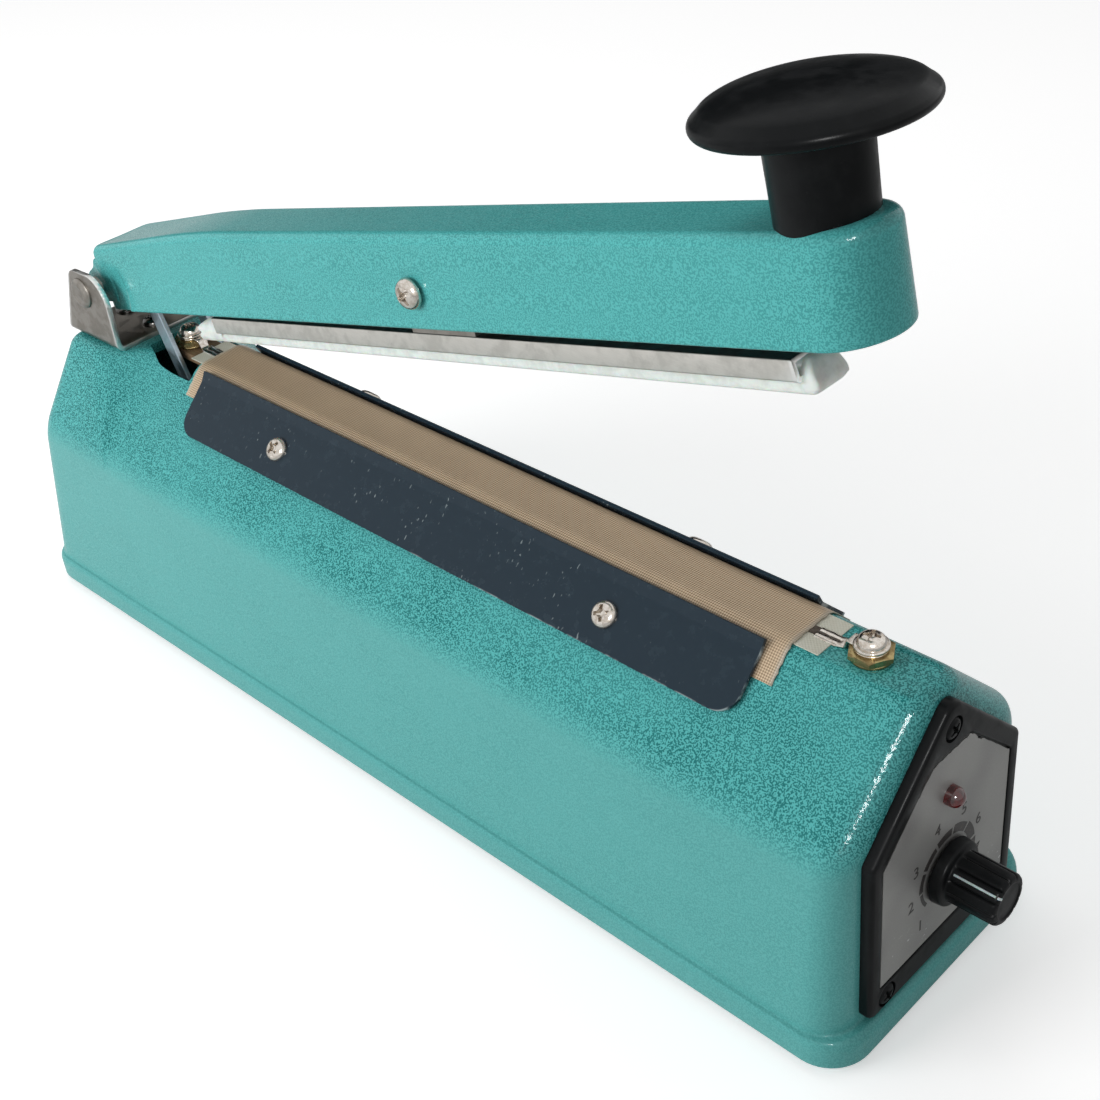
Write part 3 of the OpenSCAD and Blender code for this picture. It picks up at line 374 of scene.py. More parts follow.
class Finish:
    """Node material that reads Object coordinates, built a node at a time."""

    def __init__(self, name, rough=0.5, metal=0.0, coat=0.0, **constants):
        self.material = bpy.data.materials.new(name)
        self.tree = node_tree(self.material)
        self.shader = self.tree.nodes["Principled BSDF"]
        values = {"Roughness": rough, "Metallic": metal, "Coat Weight": coat}
        for key, value in constants.items():
            values[key.replace("_", " ").title().replace("Ior", "IOR")] = value
        feed(self.tree, self.shader, values)
        self.place = self.node("ShaderNodeTexCoord").outputs["Object"]

    def node(self, kind, inputs=None, **settings):
        """Adds a node to the material."""
        return add_node(self.tree, kind, inputs, **settings)

    def put(self, socket, value):
        """Gives the shader's socket a node's output."""
        feed(self.tree, self.shader, {socket: value})

    def noise(self, size, detail=2.0, rough=0.5, twist=0.0, where=None):
        """Noise whose grains are about size millimetres across."""
        return self.node("ShaderNodeTexNoise", {
            "Vector": where or self.place, "Scale": 1 / (size * MM), "Detail": detail,
            "Roughness": rough, "Distortion": twist}).outputs["Fac"]

    def turned(self, degrees=(0, 0, 0), scale=(1, 1, 1)):
        """Coordinates turned about the axes and stretched."""
        return self.node("ShaderNodeMapping", {
            "Vector": self.place, "Rotation": [np.radians(a) for a in degrees],
            "Scale": scale}).outputs["Vector"]

    def axis(self, name, where=None):
        """One coordinate, in metres."""
        return self.node("ShaderNodeSeparateXYZ",
                         {"Vector": where or self.place}).outputs[name]

    def step(self, value, low, high, start=0.0, end=1.0):
        """Value mapped smoothly from low..high to start..end."""
        return self.node("ShaderNodeMapRange", {
            "Value": value, "From Min": low, "From Max": high, "To Min": start,
            "To Max": end}, interpolation_type="SMOOTHSTEP").outputs["Result"]

    def math(self, kind, a, b=0.0, c=0.0):
        """One sum on numbers."""
        return self.node("ShaderNodeMath", {0: a, 1: b, 2: c}, operation=kind).outputs[0]

    def blend(self, share, first, second):
        """Colour between two others."""
        return self.node("ShaderNodeMix", {0: share, 6: first, 7: second},
                         data_type="RGBA").outputs[2]

    def bump(self, height, deep):
        """Bump of a height between 0 and 1 that is deep millimetres at most."""
        made = self.node("ShaderNodeBump", {"Height": height, "Distance": deep * MM,
                                            "Strength": 1.0}).outputs["Normal"]
        self.put("Normal", made)
        return made

    def threads(self, along, pitch):
        """Even waves, 0 to 1, that repeat every pitch millimetres of a coordinate."""
        wave = self.math("SINE", self.math("MULTIPLY", along, 2 * np.pi / (pitch * MM)))
        return self.math("MULTIPLY_ADD", wave, 0.5, 0.5)

    def mark(self, name, output="Fac"):
        """Number or vector that the piece carries at each point."""
        return self.node("ShaderNodeAttribute", attribute_name=name).outputs[output]


def cast_paint():
    """Hammertone enamel: a pale film and a darker one meet in a fine maze, the two sides of a
    smooth noise. The maze is strong on the slopes and milder on the arm; on the upright sides
    below the eave it is faint and the film paler, a painted sheen of the bright surroundings
    there. A glossy coat over it dimples the light."""
    f = Finish("cast_paint", rough=0.4, coat=0.7, coat_roughness=0.06, coat_ior=1.28,
               specular_ior_level=0.06)
    maze = f.noise(0.38, 0.6, 0.45, 0.15)
    high = f.axis("Z")
    # 0 below the eave, where the upright sides get a painted sheen: a fainter maze and a paler
    # film
    above_eave_unsheened = f.step(high, 0.056, 0.066)
    dark = f.step(maze, 0.57, 0.43)
    on_base = f.step(high, 0.094, 0.090, 0.50, 1.0)
    drift = f.step(f.noise(30.0, 2.0), 0.3, 0.7, 0.72, 1.0)
    amount = f.math("MULTIPLY", f.math("MULTIPLY", dark, drift),
                    f.math("MULTIPLY", on_base, f.math("MULTIPLY_ADD", above_eave_unsheened, 0.70, 0.28)))
    # The paler film below the eave is a painted sheen of the bright surroundings on the upright
    # sides.
    film = f.blend(above_eave_unsheened, shade(0.385, 0.70, 0.69), shade(0.355, 0.73, 0.725))
    deep = shade(0.045, 0.42, 0.42)
    f.put("Base Color", f.blend(amount, film, deep))
    f.put("Roughness", f.step(maze, 0.4, 0.6, 0.42, 0.30))
    orange_peel = f.bump(f.noise(0.95, 1.5, 0.45, 0.2), 0.075)
    f.put("Coat Normal", orange_peel)
    return f.material


def slate_paint():
    """Smooth slate enamel with faint dust, a few long pale scratches, and metal that shows
    through in places along the cut edges, by the piece's own wear mark."""
    f = Finish("slate_paint", rough=0.26, coat=0.3, coat_roughness=0.1, coat_ior=1.3,
               specular_ior_level=0.15)
    dust = f.step(f.noise(3.5, 4.0, 0.62), 0.48, 0.80, 0.0, 0.22)
    tone = f.blend(dust, shade(0.115, 0.18, 0.225), shade(0.25, 0.31, 0.345))
    scratch = f.math("MULTIPLY",
                     f.step(f.noise(0.55, 0.5, where=f.turned((0, 0, 28), (1.0, 0.07, 0.5))),
                            0.735, 0.77),
                     f.step(f.noise(11.0, 1.0), 0.50, 0.62))
    worn = f.math("MULTIPLY", f.mark("wear"), f.step(f.noise(5.0, 3.0, 0.6), 0.42, 0.62))
    bare = f.math("MAXIMUM", f.math("MULTIPLY", scratch, 0.55), worn)
    f.put("Base Color", f.blend(bare, tone, shade(0.66, 0.71, 0.72)))
    f.put("Roughness", f.step(dust, 0.0, 0.22, 0.24, 0.40))
    f.bump(f.noise(2.6, 2.0), 0.012)
    return f.material


def plated_metal(name, tone, dull, rough, grain=(1.0, 1.0, 1.0), spots=0.35, size=2.0):
    """Metal with a fine drawn grain, cloudy tarnish between two tones, a brighter edge by the
    piece's own wear mark, and a painted shade, dark grey, by the piece's own mark for it."""
    f = Finish(name, rough=rough, metal=1.0)
    fine = f.noise(0.35, 3.0, 0.6, where=f.turned(scale=grain))
    cloud = f.step(f.noise(size, 4.0, 0.62, 0.3), 0.38, 0.68)
    stain = f.math("MULTIPLY", cloud, spots)
    colour = f.blend(stain, tone, dull)
    colour = f.blend(f.math("MULTIPLY", f.step(fine, 0.3, 0.7), 0.16), colour, dull)
    colour = f.blend(f.mark("wear"), colour, shade(0.93, 0.93, 0.92))
    # painted shade: dark grey wherever the piece's mark for it is set
    colour = f.blend(f.math("MULTIPLY", f.mark("painted_shade"), 0.9), colour, shade(0.20, 0.21, 0.215))
    f.put("Base Color", colour)
    f.put("Roughness", f.math("ADD", f.step(cloud, 0.0, 1.0, rough * 0.8, rough * 1.35),
                              f.math("MULTIPLY", fine, 0.06)))
    f.bump(fine, 0.006)
    return f.material


def moulded(name, tone, pale, rough, deep=0.012, size=0.5):
    """Moulded plastic or rubber: fine pebbled skin, slightly uneven gloss and a light bloom of
    dust and rubbed patches."""
    f = Finish(name, rough=rough, specular_ior_level=0.1)
    cloud = f.step(f.noise(9.0, 3.0, 0.6), 0.35, 0.7)
    dust = f.step(f.noise(0.9, 3.0, 0.7), 0.62, 0.80, 0.0, 0.45)
    f.put("Base Color", f.blend(f.math("MULTIPLY_ADD", cloud, 0.25, dust), tone, pale))
    f.put("Roughness", f.step(cloud, 0.0, 1.0, rough - 0.05, rough + 0.1))
    f.bump(f.noise(size, 2.0, 0.6), deep)
    return f.material


def cloth_tan():
    """Coated glass cloth: two sets of diagonal threads by the piece's own weave coordinates,
    bright where a thread crosses over, with heat-browned clouds and pale cut edges."""
    f = Finish("cloth_tan", rough=0.46, coat=0.12, coat_roughness=0.3)
    weave = f.mark("weave", "Vector")
    pitch = 2 * np.pi / (1.25 * MM)
    u, v = f.axis("X", weave), f.axis("Y", weave)
    plus = f.math("SINE", f.math("MULTIPLY", f.math("ADD", u, v), pitch))
    minus = f.math("SINE", f.math("MULTIPLY", f.math("SUBTRACT", u, v), pitch))
    knot = f.math("MULTIPLY_ADD", f.math("MULTIPLY", plus, minus), 0.5, 0.5)
    cloud = f.step(f.noise(16.0, 3.0, 0.55, where=weave), 0.3, 0.72)
    tone = f.blend(cloud, shade(0.60, 0.50, 0.385), shade(0.53, 0.43, 0.325))
    tone = f.blend(f.step(knot, 0.25, 0.75, 0.0, 0.9), tone, shade(0.90, 0.81, 0.69))
    edge = f.mark("wear")
    f.put("Base Color", f.blend(edge, tone, shade(0.80, 0.77, 0.70)))
    f.put("Roughness", f.step(knot, 0.0, 1.0, 0.52, 0.36))
    f.bump(knot, 0.035)
    return f.material


def tape_white():
    """Plain-woven glass tape: threads along and across it."""
    f = Finish("tape_white", rough=0.7)
    pitch = 2 * np.pi / (0.9 * MM)
    along = f.math("SINE", f.math("MULTIPLY", f.axis("X"), pitch))
    across = f.math("SINE", f.math("MULTIPLY", f.axis("Y"), pitch))
    knot = f.math("MULTIPLY_ADD", f.math("MULTIPLY", along, across), 0.5, 0.5)
    tone = f.blend(f.noise(4.0, 3.0), shade(0.86, 0.86, 0.80), shade(0.76, 0.74, 0.66))
    f.put("Base Color", f.blend(f.math("MULTIPLY", knot, 0.3), tone, shade(0.95, 0.95, 0.92)))
    f.bump(knot, 0.05)
    return f.material


def strip_board():
    """Resin-bonded fibre board: brown laminate with fine fibres along it and scorched clouds."""
    f = Finish("strip_board", rough=0.62)
    fibre = f.noise(0.5, 3.0, 0.6, where=f.turned(scale=(0.15, 1.0, 1.0)))
    scorch = f.step(f.noise(7.0, 3.0), 0.4, 0.7)
    tone = f.blend(f.step(fibre, 0.3, 0.7), shade(0.50, 0.41, 0.30), shade(0.40, 0.32, 0.23))
    f.put("Base Color", f.blend(f.math("MULTIPLY", scorch, 0.5), tone, shade(0.25, 0.19, 0.14)))
    f.bump(fibre, 0.03)
    return f.material


def label_silver():
    """Printed foil: satin silver in clouded tones with tiny bright slanting scratches and
    flecks, gathered low down, where they are partly scratches and partly a painted sheen, and a
    faint grain."""
    f = Finish("label_silver", rough=0.42, metal=0.25)
    cloud = f.step(f.noise(26.0, 2.0, 0.5), 0.35, 0.7)
    tone = f.blend(cloud, shade(0.60, 0.60, 0.59), shade(0.52, 0.52, 0.515))
    low = f.step(f.axis("Z"), 0.040, 0.020)
    fleck = f.step(f.noise(0.7, 2.0, 0.6, 0.8, where=f.turned((40, 0, 0), (1, 0.35, 1))),
                   0.70, 0.74)
    # The flecks gather low down: partly scratches, partly a painted sheen on the lower foil.
    bright = f.math("MULTIPLY", fleck, f.math("MULTIPLY_ADD", low, 0.8, 0.05))
    f.put("Base Color", f.blend(bright, tone, shade(0.93, 0.94, 0.95)))
    f.put("Roughness", f.step(f.noise(0.3, 2.0), 0.3, 0.7, 0.36, 0.48))
    f.bump(f.noise(0.3, 2.0), 0.005)
    return f.material


def ink():
    """Dark print, rubbed thin in places."""
    f = Finish("dial_print", rough=0.45)
    rubbed = f.step(f.noise(0.9, 3.0, 0.7), 0.58, 0.75, 0.0, 0.7)
    f.put("Base Color", f.blend(rubbed, shade(0.17, 0.16, 0.155), shade(0.42, 0.40, 0.38)))
    f.bump(f.noise(0.4, 2.0), 0.004)
    return f.material


def lamp_red():
    """Dark red clear plastic with a deeper core."""
    f = Finish("lamp_red", rough=0.12, coat=0.8, coat_roughness=0.05)
    core = f.step(f.noise(1.6, 2.0), 0.35, 0.7)
    f.put("Base Color", f.blend(core, shade(0.42, 0.035, 0.05), shade(0.24, 0.015, 0.03)))
    f.put("Roughness", f.step(core, 0.0, 1.0, 0.08, 0.2))
    f.bump(f.noise(0.8, 2.0), 0.006)
    return f.material


def silicone():
    """Milky rubber: pale bluish white that takes some light inside, with rubbed marks."""
    f = Finish("silicone", rough=0.42, subsurface_weight=0.35, subsurface_scale=0.004)
    cloud = f.step(f.noise(3.0, 3.0, 0.6), 0.35, 0.7)
    tone = f.blend(cloud, shade(0.93, 0.95, 0.93), shade(0.87, 0.89, 0.87))
    f.put("Base Color", tone)
    f.bump(f.noise(0.8, 3.0, 0.6), 0.03)
    return f.material


def core_iron():
    """Stacked iron sheets: fine dark lines across the stack under varnish."""
    f = Finish("core_iron", rough=0.45, metal=0.7)
    sheets = f.threads(f.axis("Y"), 0.5)
    tone = f.blend(f.noise(5.0, 3.0), shade(0.30, 0.30, 0.31), shade(0.20, 0.19, 0.19))
    f.put("Base Color", f.blend(f.math("MULTIPLY", sheets, 0.5), tone, shade(0.12, 0.12, 0.12)))
    f.bump(sheets, 0.05)
    return f.material


def coil_copper():
    """Enamelled wire wound in even turns round the core."""
    f = Finish("coil_copper", rough=0.3, metal=0.8, coat=0.4)
    turns = f.threads(f.axis("Z"), 0.6)
    tone = f.blend(f.noise(4.0, 2.0), shade(0.72, 0.42, 0.22), shade(0.58, 0.30, 0.14))
    f.put("Base Color", f.blend(f.math("MULTIPLY", turns, 0.4), tone, shade(0.85, 0.56, 0.34)))
    f.bump(turns, 0.1)
    return f.material


STEEL_DULL = shade(0.44, 0.415, 0.385)
FINISHES = {
    "cast_paint": cast_paint(),
    "slate_paint": slate_paint(),
    "sheet_steel": plated_metal("sheet_steel", shade(0.60, 0.585, 0.56), STEEL_DULL, 0.34,
                                (0.5, 1.0, 2.0), 0.4, 5.0),
    "screw_steel": plated_metal("screw_steel", shade(0.86, 0.84, 0.81), shade(0.55, 0.47, 0.38),
                                0.17, (1, 1, 1), 0.45, 1.3),
    "link_metal": plated_metal("link_metal", shade(0.70, 0.76, 0.80), shade(0.58, 0.64, 0.68),
                               0.36, (1.0, 1.0, 0.2), 0.4, 4.0),
    "bar_metal": plated_metal("bar_metal", shade(0.84, 0.83, 0.805), shade(0.72, 0.71, 0.69),
                              0.38, (0.12, 1.0, 1.0), 0.5, 6.0),
    "element_wire": plated_metal("element_wire", shade(0.42, 0.39, 0.36),
                                 shade(0.22, 0.19, 0.17), 0.36, (0.2, 1, 1), 0.5, 1.5),
    "brass": plated_metal("brass", shade(0.70, 0.63, 0.45), shade(0.42, 0.32, 0.21), 0.27,
                          (1, 1, 1), 0.6, 1.8),
    "black_plastic": moulded("black_plastic", shade(0.062, 0.07, 0.075),
                             shade(0.15, 0.155, 0.16), 0.33),
    "black_rubber": moulded("black_rubber", shade(0.10, 0.10, 0.10), shade(0.22, 0.22, 0.22),
                            0.7, 0.03, 0.7),
    "red_plastic": moulded("red_plastic", shade(0.62, 0.13, 0.10), shade(0.75, 0.28, 0.22),
                           0.4),
    "cloth_tan": cloth_tan(),
    "tape_white": tape_white(),
    "strip_board": strip_board(),
    "label_silver": label_silver(),
    "lamp_red": lamp_red(),
    "silicone": silicone(),
    "core_iron": core_iron(),
    "coil_copper": coil_copper(),
}
PRINT = ink()


# ---- castings ----

def casting(levels, cuts, straight, arcs, rise, turns, radii, bend_cut):
    """Skin of a hollow casting. Each level is half a plan outline given by its corners, the
    first and the last on the centre line. A half outline is a soft path through them, with the
    level's own corner radii; its mirror image closes the ring. The skin is a soft path from
    level to level at every station of the ring, and the two end rings are closed by straight
    rows from side to side."""
    levels = np.asarray(levels, float).transpose(1, 0, 2)          # corner, level, xyz
    cut = np.zeros(levels.shape[:2])
    cut[1:-1] = bend_cut
    cut[1], cut[-2] = np.asarray(radii, float).T
    half = soft_path(levels, cut, cut, straight, arcs)             # station, level, xyz
    ring = np.concatenate([half, half[-2:0:-1] * [1, -1, 1]])
    weight = unit(np.gradient(ring[:, -1], axis=0))[:, 1] ** 2      # 1 across the ends
    side, end = np.split(np.asarray(cuts, float), 2, axis=2)
    before, after = side + (end - side) * weight
    skin = soft_path(ring.transpose(1, 0, 2), before, after, rise, turns)
    across, count = straight[0], len(half)
    lids = []
    for row in (skin[0], skin[-1]):
        left = row[:count][across:count - across]
        right = np.concatenate([row[:1], row[:count - 1:-1]])
        right = np.concatenate([right, row[count - 1:count]])[across:count - across]
        share = np.linspace(0, 1, 2 * across + 1)[None, :, None]
        lids.append(net(left[:, None] * (1 - share) + right[:, None] * share))
    return [net(skin, wrap_v=True), *lids]


def base_level(rear, bends, front, wide, z_rear, z_front):
    """Half plan of the base at one level: the rear corner, three bends of the side and the front
    corner, each with its place along and its half width."""
    x1, x2, x3 = bends
    w0, w1, w2, w3, w4 = wide
    return [(rear, 0, z_rear), (rear, w0, z_rear), (x1, w1, z_rear), (x2, w2, z_rear),
            (x3, w3, z_front), (front, w4, z_front), (front, 0, z_front)]


def housing():
    """Cast housing: inside ceiling, eaves and foot, the rebate for the base plate, the rim and
    its ledge, the upright side, the slope and the ridge, as the levels of a casting. At the
    rear the slope turns in towards the level platform under the bracket."""
    side = (-120.0, -110.0, -100.0)
    even = lambda w: (w,) * 5
    levels = [
        base_level(-139, (-134, -118, -110), 151, (13, 13, 5, 4, 4), 81.6, 80.4),
        base_level(-143, (-131, -115, -107), 155, (17.2, 17.2, 8.8, 8.2, 8.2), 81.8, 80.4),
        base_level(-149, (-116.5, -111, -101), 156.5, even(32.5), 56.7, 56.7),
        base_level(-158.4, side, 156.5, even(35.3), 2.2, 2.2),
        base_level(-159, side, 158, even(36.5), 2.2, 2.2),
        base_level(-159, side, 158, even(36.5), 0, 0),
        base_level(-BASE_HALF_LONG, side, BASE_HALF_LONG, even(BASE_HALF_WIDE), 0, 0),
        base_level(-BASE_HALF_LONG, side, BASE_HALF_LONG, even(BASE_HALF_WIDE),
                   RIM_HIGH, RIM_HIGH),
        base_level(-161.3, side, FRONT_X, even(38.44), RIM_HIGH, RIM_HIGH),
        base_level(-152, (-116.5, -110.5, -101), FRONT_X, even(35.5), EAVE_Z, EAVE_Z),
        base_level(-147, (-129, -112, -104), FRONT_X, (19, 19, 10.5, 7.6, 7.6),
                   PLATFORM_Z, RIDGE_Z),
        base_level(-143.6, (-130, -114, -105), 155.4, (15.6, 15.6, 7.6, 4.2, 4.2),
                   PLATFORM_Z, RIDGE_Z),
    ]
    # how far each level's corner is cut below and above it, on the sides and across the ends
    below = [(0, 0), (1.5, 1.5), (2, 2), (.3, .3), (.3, .3), (.3, .3), (.5, .5), (2.6, 2.6),
             (.5, .9), (4.2, 4.2), (2.4, 4.0), (0, 0)]
    above = [(0, 0), (1.5, 1.5), (2, 2), (.3, .3), (.3, .3), (.3, .3), (.5, .5), (.9, 2.0),
             (.9, .9), (4.2, 4.2), (2.2, 3.6), (0, 0)]
    radii = [(2, 2), (4, 2.5), (5, 5), (6, 6), (8, 8), (8, 8), (11, 11), (11, 11),
             (9.4, 9.4), (8.2, 8.2), (5, 6.2), (2, 2.6)]
    skin = casting(levels, (below, above), [14, 8, 6, 5, 100, 14], [10, 5, 5, 5, 12],
                   [1, 3, 2, 1, 1, 1, 3, 1, 16, 14, 2], [2, 2, 1, 1, 1, 3, 7, 4, 10, 9],
                   radii, 3.0)
    obj = piece("housing_cast", skin, "cast_paint", replaces=["housing"], sharp=42)
    slot_plan = soft_loop([(-117.5, -8), (-108.5, -11.6), (-93, -11.6), (-93, 11.6),
                           (-108.5, 11.6), (-117.5, 8)], 1.0)
    seat_plan = np.array([(-94, -5.1), (127.6, -5.1), (127.6, 5.1), (-94, 5.1)])
    cut_through(obj, [slab(slot_plan, EAVE_Z + 8, 100), slab(seat_plan, RIDGE_Z - 2.5, 100)])


def cut_through(obj, patches):
    """Takes closed shapes out of a piece, one after the other, and keeps the cut mesh."""
    for verts, faces in patches:
        mesh = mesh_of("cutter", ((np.asarray(verts) + ZERO) * MM).tolist(), faces)
        cutter = add("cutter", mesh)
        gap = obj.modifiers.new("gap", "BOOLEAN")
        gap.operation, gap.solver, gap.object = "DIFFERENCE", "EXACT", cutter
        bpy.context.view_layer.update()
        cut = bpy.data.meshes.new_from_object(
            obj.evaluated_get(bpy.context.evaluated_depsgraph_get()))
        obj.modifiers.clear()
        old, obj.data = obj.data, cut
        bpy.data.meshes.remove(old)
        bpy.data.objects.remove(cutter)
        bpy.data.meshes.remove(mesh)
    obj.data.name = obj.name


def arm_level(rear, taper, nose, wide, z):
    """Half plan of the arm at one level: the rear corner, the end of the taper and the nose."""
    return [(rear, 0, z[0]), (rear, wide[0], z[0]), (taper, wide[1], z[1]),
            (nose, wide[2], z[2]), (nose, 0, z[2])]


def arm_shell():
    """Cast arm, open below: inside ceiling, inside and outside of the lips, and the top, as the
    levels of a casting with a half-round nose. Beside the bracket's ears the side steps in over
    a circle about the pin, by smooth steps of the distance from it and of the height. The neck
    is two cheeks with a round end about the pin, and a web between them."""
    lip = (-7.8, -7.48, -6.2)
    ceiling, top = (9.7, 13.9, 13.9), (12.2, ARM_TOP, ARM_TOP)
    levels = [
        arm_level(9.5, 62, 284, (5, 5, 5), ceiling),
        arm_level(5, 62, 288, (8.4, 8.4, 8.4), ceiling),
        arm_level(7.2, 60, 286.5, (9.5, 9.5, 9.5), lip),
        arm_level(2.3, 60, 289, (ARM_HALF,) * 3, lip),
        arm_level(2.3, 60, 290.5, (10.9, 10.9, 10.9), top),
        arm_level(6.2, 61, 286.7, (7.1, 7.1, 7.1), top),
    ]
    cuts = [(0, 0), (1.2, 1.2), (.8, .8), (.8, .8), (2.7, 2.7), (0, 0)]
    radii = [(2, 4.9), (2.5, 8.3), (2, 9.4), (3, 11.95), (3, 10.85), (2, 7.05)]
    skin = casting(levels, (cuts, cuts), [8, 60, 90, 8], [8, 10, 28],
                   [1, 6, 1, 30, 2], [3, 3, 3, 8], radii, 14.0)

    def shaped(p):
        """Steps the sides in about the hinge pin."""
        inward = smooth((18.0 - np.hypot(p[:, 0], p[:, 2])) / 1.8) * smooth((6.5 - p[:, 2]) / 6)
        outer = np.clip((np.abs(p[:, 1]) - 9.6) / 1.2, 0, 1)
        q = p.copy()
        q[:, 1] -= np.sign(p[:, 1]) * inward * outer
        return on_arm(q)

    hub = [(5.2 * np.cos(a), 5.2 * np.sin(a)) for a in np.radians(np.arange(104, 272, 6))]
    cheek = np.array(hub + [(9.5, -5.2), (9.5, 8.6), (3.2, 8.6), (2.2, 7.2), (0.9, 6.0)])
    web = np.array([(1.6, 6.3), (9.0, 6.3), (9.0, 8.4), (3.2, 8.4), (2.0, 7.0)])
    parts = moved(skin, shaped)
    for low, high, loop, soft in ((8.5, 11.1, cheek, 0.08), (-11.1, -8.5, cheek, 0.08),
                                  (-8.7, 8.7, web, 0.0)):
        parts.append(move(pillow(loop, low, high, soft), lambda p: on_arm(sideways(p))))
    piece("arm_casting", parts, "cast_paint", "arm", ["arm_shell"], sharp=42)


def pillow(outline, low, high, soft):
    """Prism along Z with softened rims: outlines drawn in towards their middle by a share at
    both ends, turned over a short way, and closed by a face on each end."""
    outline = np.asarray(outline, float)
    middle = outline.mean(0)
    deep = min(0.6, (high - low) / 4)
    turn = np.linspace(0, np.pi / 2, 5)
    drawn, off = 1 - soft * (1 - np.sin(turn)), deep * (1 - np.cos(turn))
    shrink, height = np.r_[drawn, drawn[::-1]], np.r_[low + off, high - off[::-1]]
    rings = np.stack([np.c_[middle + (outline - middle) * k, np.full(len(outline), z)]
                      for k, z in zip(shrink, height)])
    body, quads = net(rings, wrap_v=True)
    ring, last = np.arange(len(outline)), len(body) - len(outline)
    return body, quads + [ring[::-1].tolist(), (ring + last).tolist()]


# ---- fasteners ----

def pan_head(radius, high, fine):
    """Pan head on Z = 0. A square net, crowded at its edge, is drawn onto a disc; its height is
    a flattened dome, and a cross is pressed into it by smooth steps, deepest in the middle."""
    a = np.sin(np.linspace(-np.pi / 2, np.pi / 2, fine + 1))
    u, v = np.meshgrid(a, a, indexing="ij")
    x, y = u * np.sqrt(1 - v ** 2 / 2), v * np.sqrt(1 - u ** 2 / 2)
    r = np.clip(np.hypot(x, y), 0, 1)
    z = (1 - r ** 4.5) ** 0.5 * (0.9 + 0.1 * (1 - r ** 2))
    ramp = lambda d: smooth(d / 0.055)
    arm = lambda p, q: (ramp(0.60 - np.abs(p))
                        * ramp(0.125 + 0.02 * (0.6 - np.abs(p)) - np.abs(q)))
    cross = np.maximum(arm(x, y), arm(y, x))
    hollow = ramp(0.30 - r) * 0.5
    z = z - np.maximum(cross * 0.62, hollow * 1.4) * (1.1 - 0.6 * r)
    top = np.stack([x * radius, y * radius, z * high], -1)
    flat = top * [1, 1, 0]
    return [net(top), net(flat[::-1])]


def screw(radius, high, shank, deep, fine=44):
    """Pan head with a plain shank below it."""
    stem = turned([(0, 0.1), (shank, 0.1), (shank, -deep), (0, -deep)], 0.2, 20, 2)
    return pan_head(radius, high, fine) + [stem]


def hexagon(across, high, bore):
    """Hexagon nut: round its ring the outside is the hexagon's radius, half the width over the
    cosine of the angle from the nearest flat, and both faces fall off outside a circle."""
    turn = np.linspace(0, 2 * np.pi, 96, endpoint=False)
    near = (turn + np.pi / 6) % (np.pi / 3) - np.pi / 6
    outer, seat, chamfer = across / 2 / np.cos(near), across / 2 * 0.95, 0.35
    fall = (outer - seat) * chamfer
    rows = [(bore, 0.3), (bore + 0.3, 0), (seat, 0), (outer, fall), (outer, high - fall),
            (seat, high), (bore + 0.5, high), (bore, high - 0.5)]
    points = [np.stack([r * np.cos(turn), r * np.sin(turn), z + 0 * turn], -1)
              for r, z in rows]
    return net(np.stack(points), wrap_u=True, wrap_v=True)


def washer(radius, bore, thick):
    """Flat ring with softened edges, as a closed profile carried round Z."""
    loop = soft_loop([(bore, 0), (radius, 0), (radius, thick), (bore, thick)], thick * 0.3, 3)
    return lathe(loop, 64, closed=True)


def fasteners():
    """Screws in the plates, the bracket, the panel and the base, and the bar's rock screw."""
    slope_out = {s: np.array([0, s * np.sin(SLOPE), np.cos(SLOPE)]) for s in (-1, 1)}
    plate, turn = [], {(-1, 0): 62, (-1, 1): 24, (1, 0): 10, (1, 1): 75}
    for side in (-1, 1):
        for k, x in enumerate(PLATE_SCREWS):
            at = on_slope(side)(np.array([x, SCREW_RUN, PLATE_GAP + PLATE_THICK - 0.02]))
            plate += moved(screw(3.5, 2.0, 1.95, 11), standing(at, slope_out[side],
                                                               turn[side, k]))
    piece("plate_screw_set", plate, "screw_steel", replaces=["plate_screws"])

    bracket = [move(p, standing((x, 0, PLATFORM_Z + 1.5), turn=a))
               for x, a in ((-142.0, 15), (-127.0, 50)) for p in screw(3.4, 2.0, 1.7, 9, 36)]
    # A mark of 1 darkens these screws all over: painted shade under the arm, between the
    # bracket's ears.
    piece("bracket_screw_set", bracket, "screw_steel", replaces=["bracket_screws"],
          marks={"painted_shade": lambda p: 0 * p[:, 0] + 1})

    panel = [move(p, standing((BEZEL_X - 1.18, y, z), (1, 0, 0), a))
             for (y, z), a in zip(PANEL_SCREWS, (20, 65, 35))
             for p in screw(2.9, 1.6, 1.4, 8)]
    piece("panel_screw_set", panel, "black_plastic", replaces=["panel_screws"])

    base = [move(p, standing((x, y, 1.0), (0, 0, -1), 30))
            for x in (-148, 148) for y in (-31.5, 31.5) for p in screw(2.9, 1.6, 1.25, 10, 28)]
    piece("base_screw_set", base, "screw_steel", replaces=["base_screws"])

    reach, half, up = 158.5, 12.4, 2.6
    beside = lambda side: lambda p: on_arm(np.stack(
        [reach + p[..., 0], side * (half + p[..., 2]), up + p[..., 1]], -1))
    parts = moved(screw(4.0, 2.4, 2.5, 28.8, 60), lambda p: beside(-1)(p @ turn_about_z(25)))
    piece("rock_screw_set", parts, "screw_steel", "arm", ["rock_screw"])
    piece("rock_nut_hex", [move(hexagon(8.0, 3.2, 2.5), beside(1))], "screw_steel", "arm",
          ["rock_nut"])


def turn_about_z(degrees):
    """Matrix that turns rows of points about Z."""
    c, s = np.cos(np.radians(degrees)), np.sin(np.radians(degrees))
    return np.array([[c, s, 0], [-s, c, 0], [0, 0, 1]])


# ---- heater ----

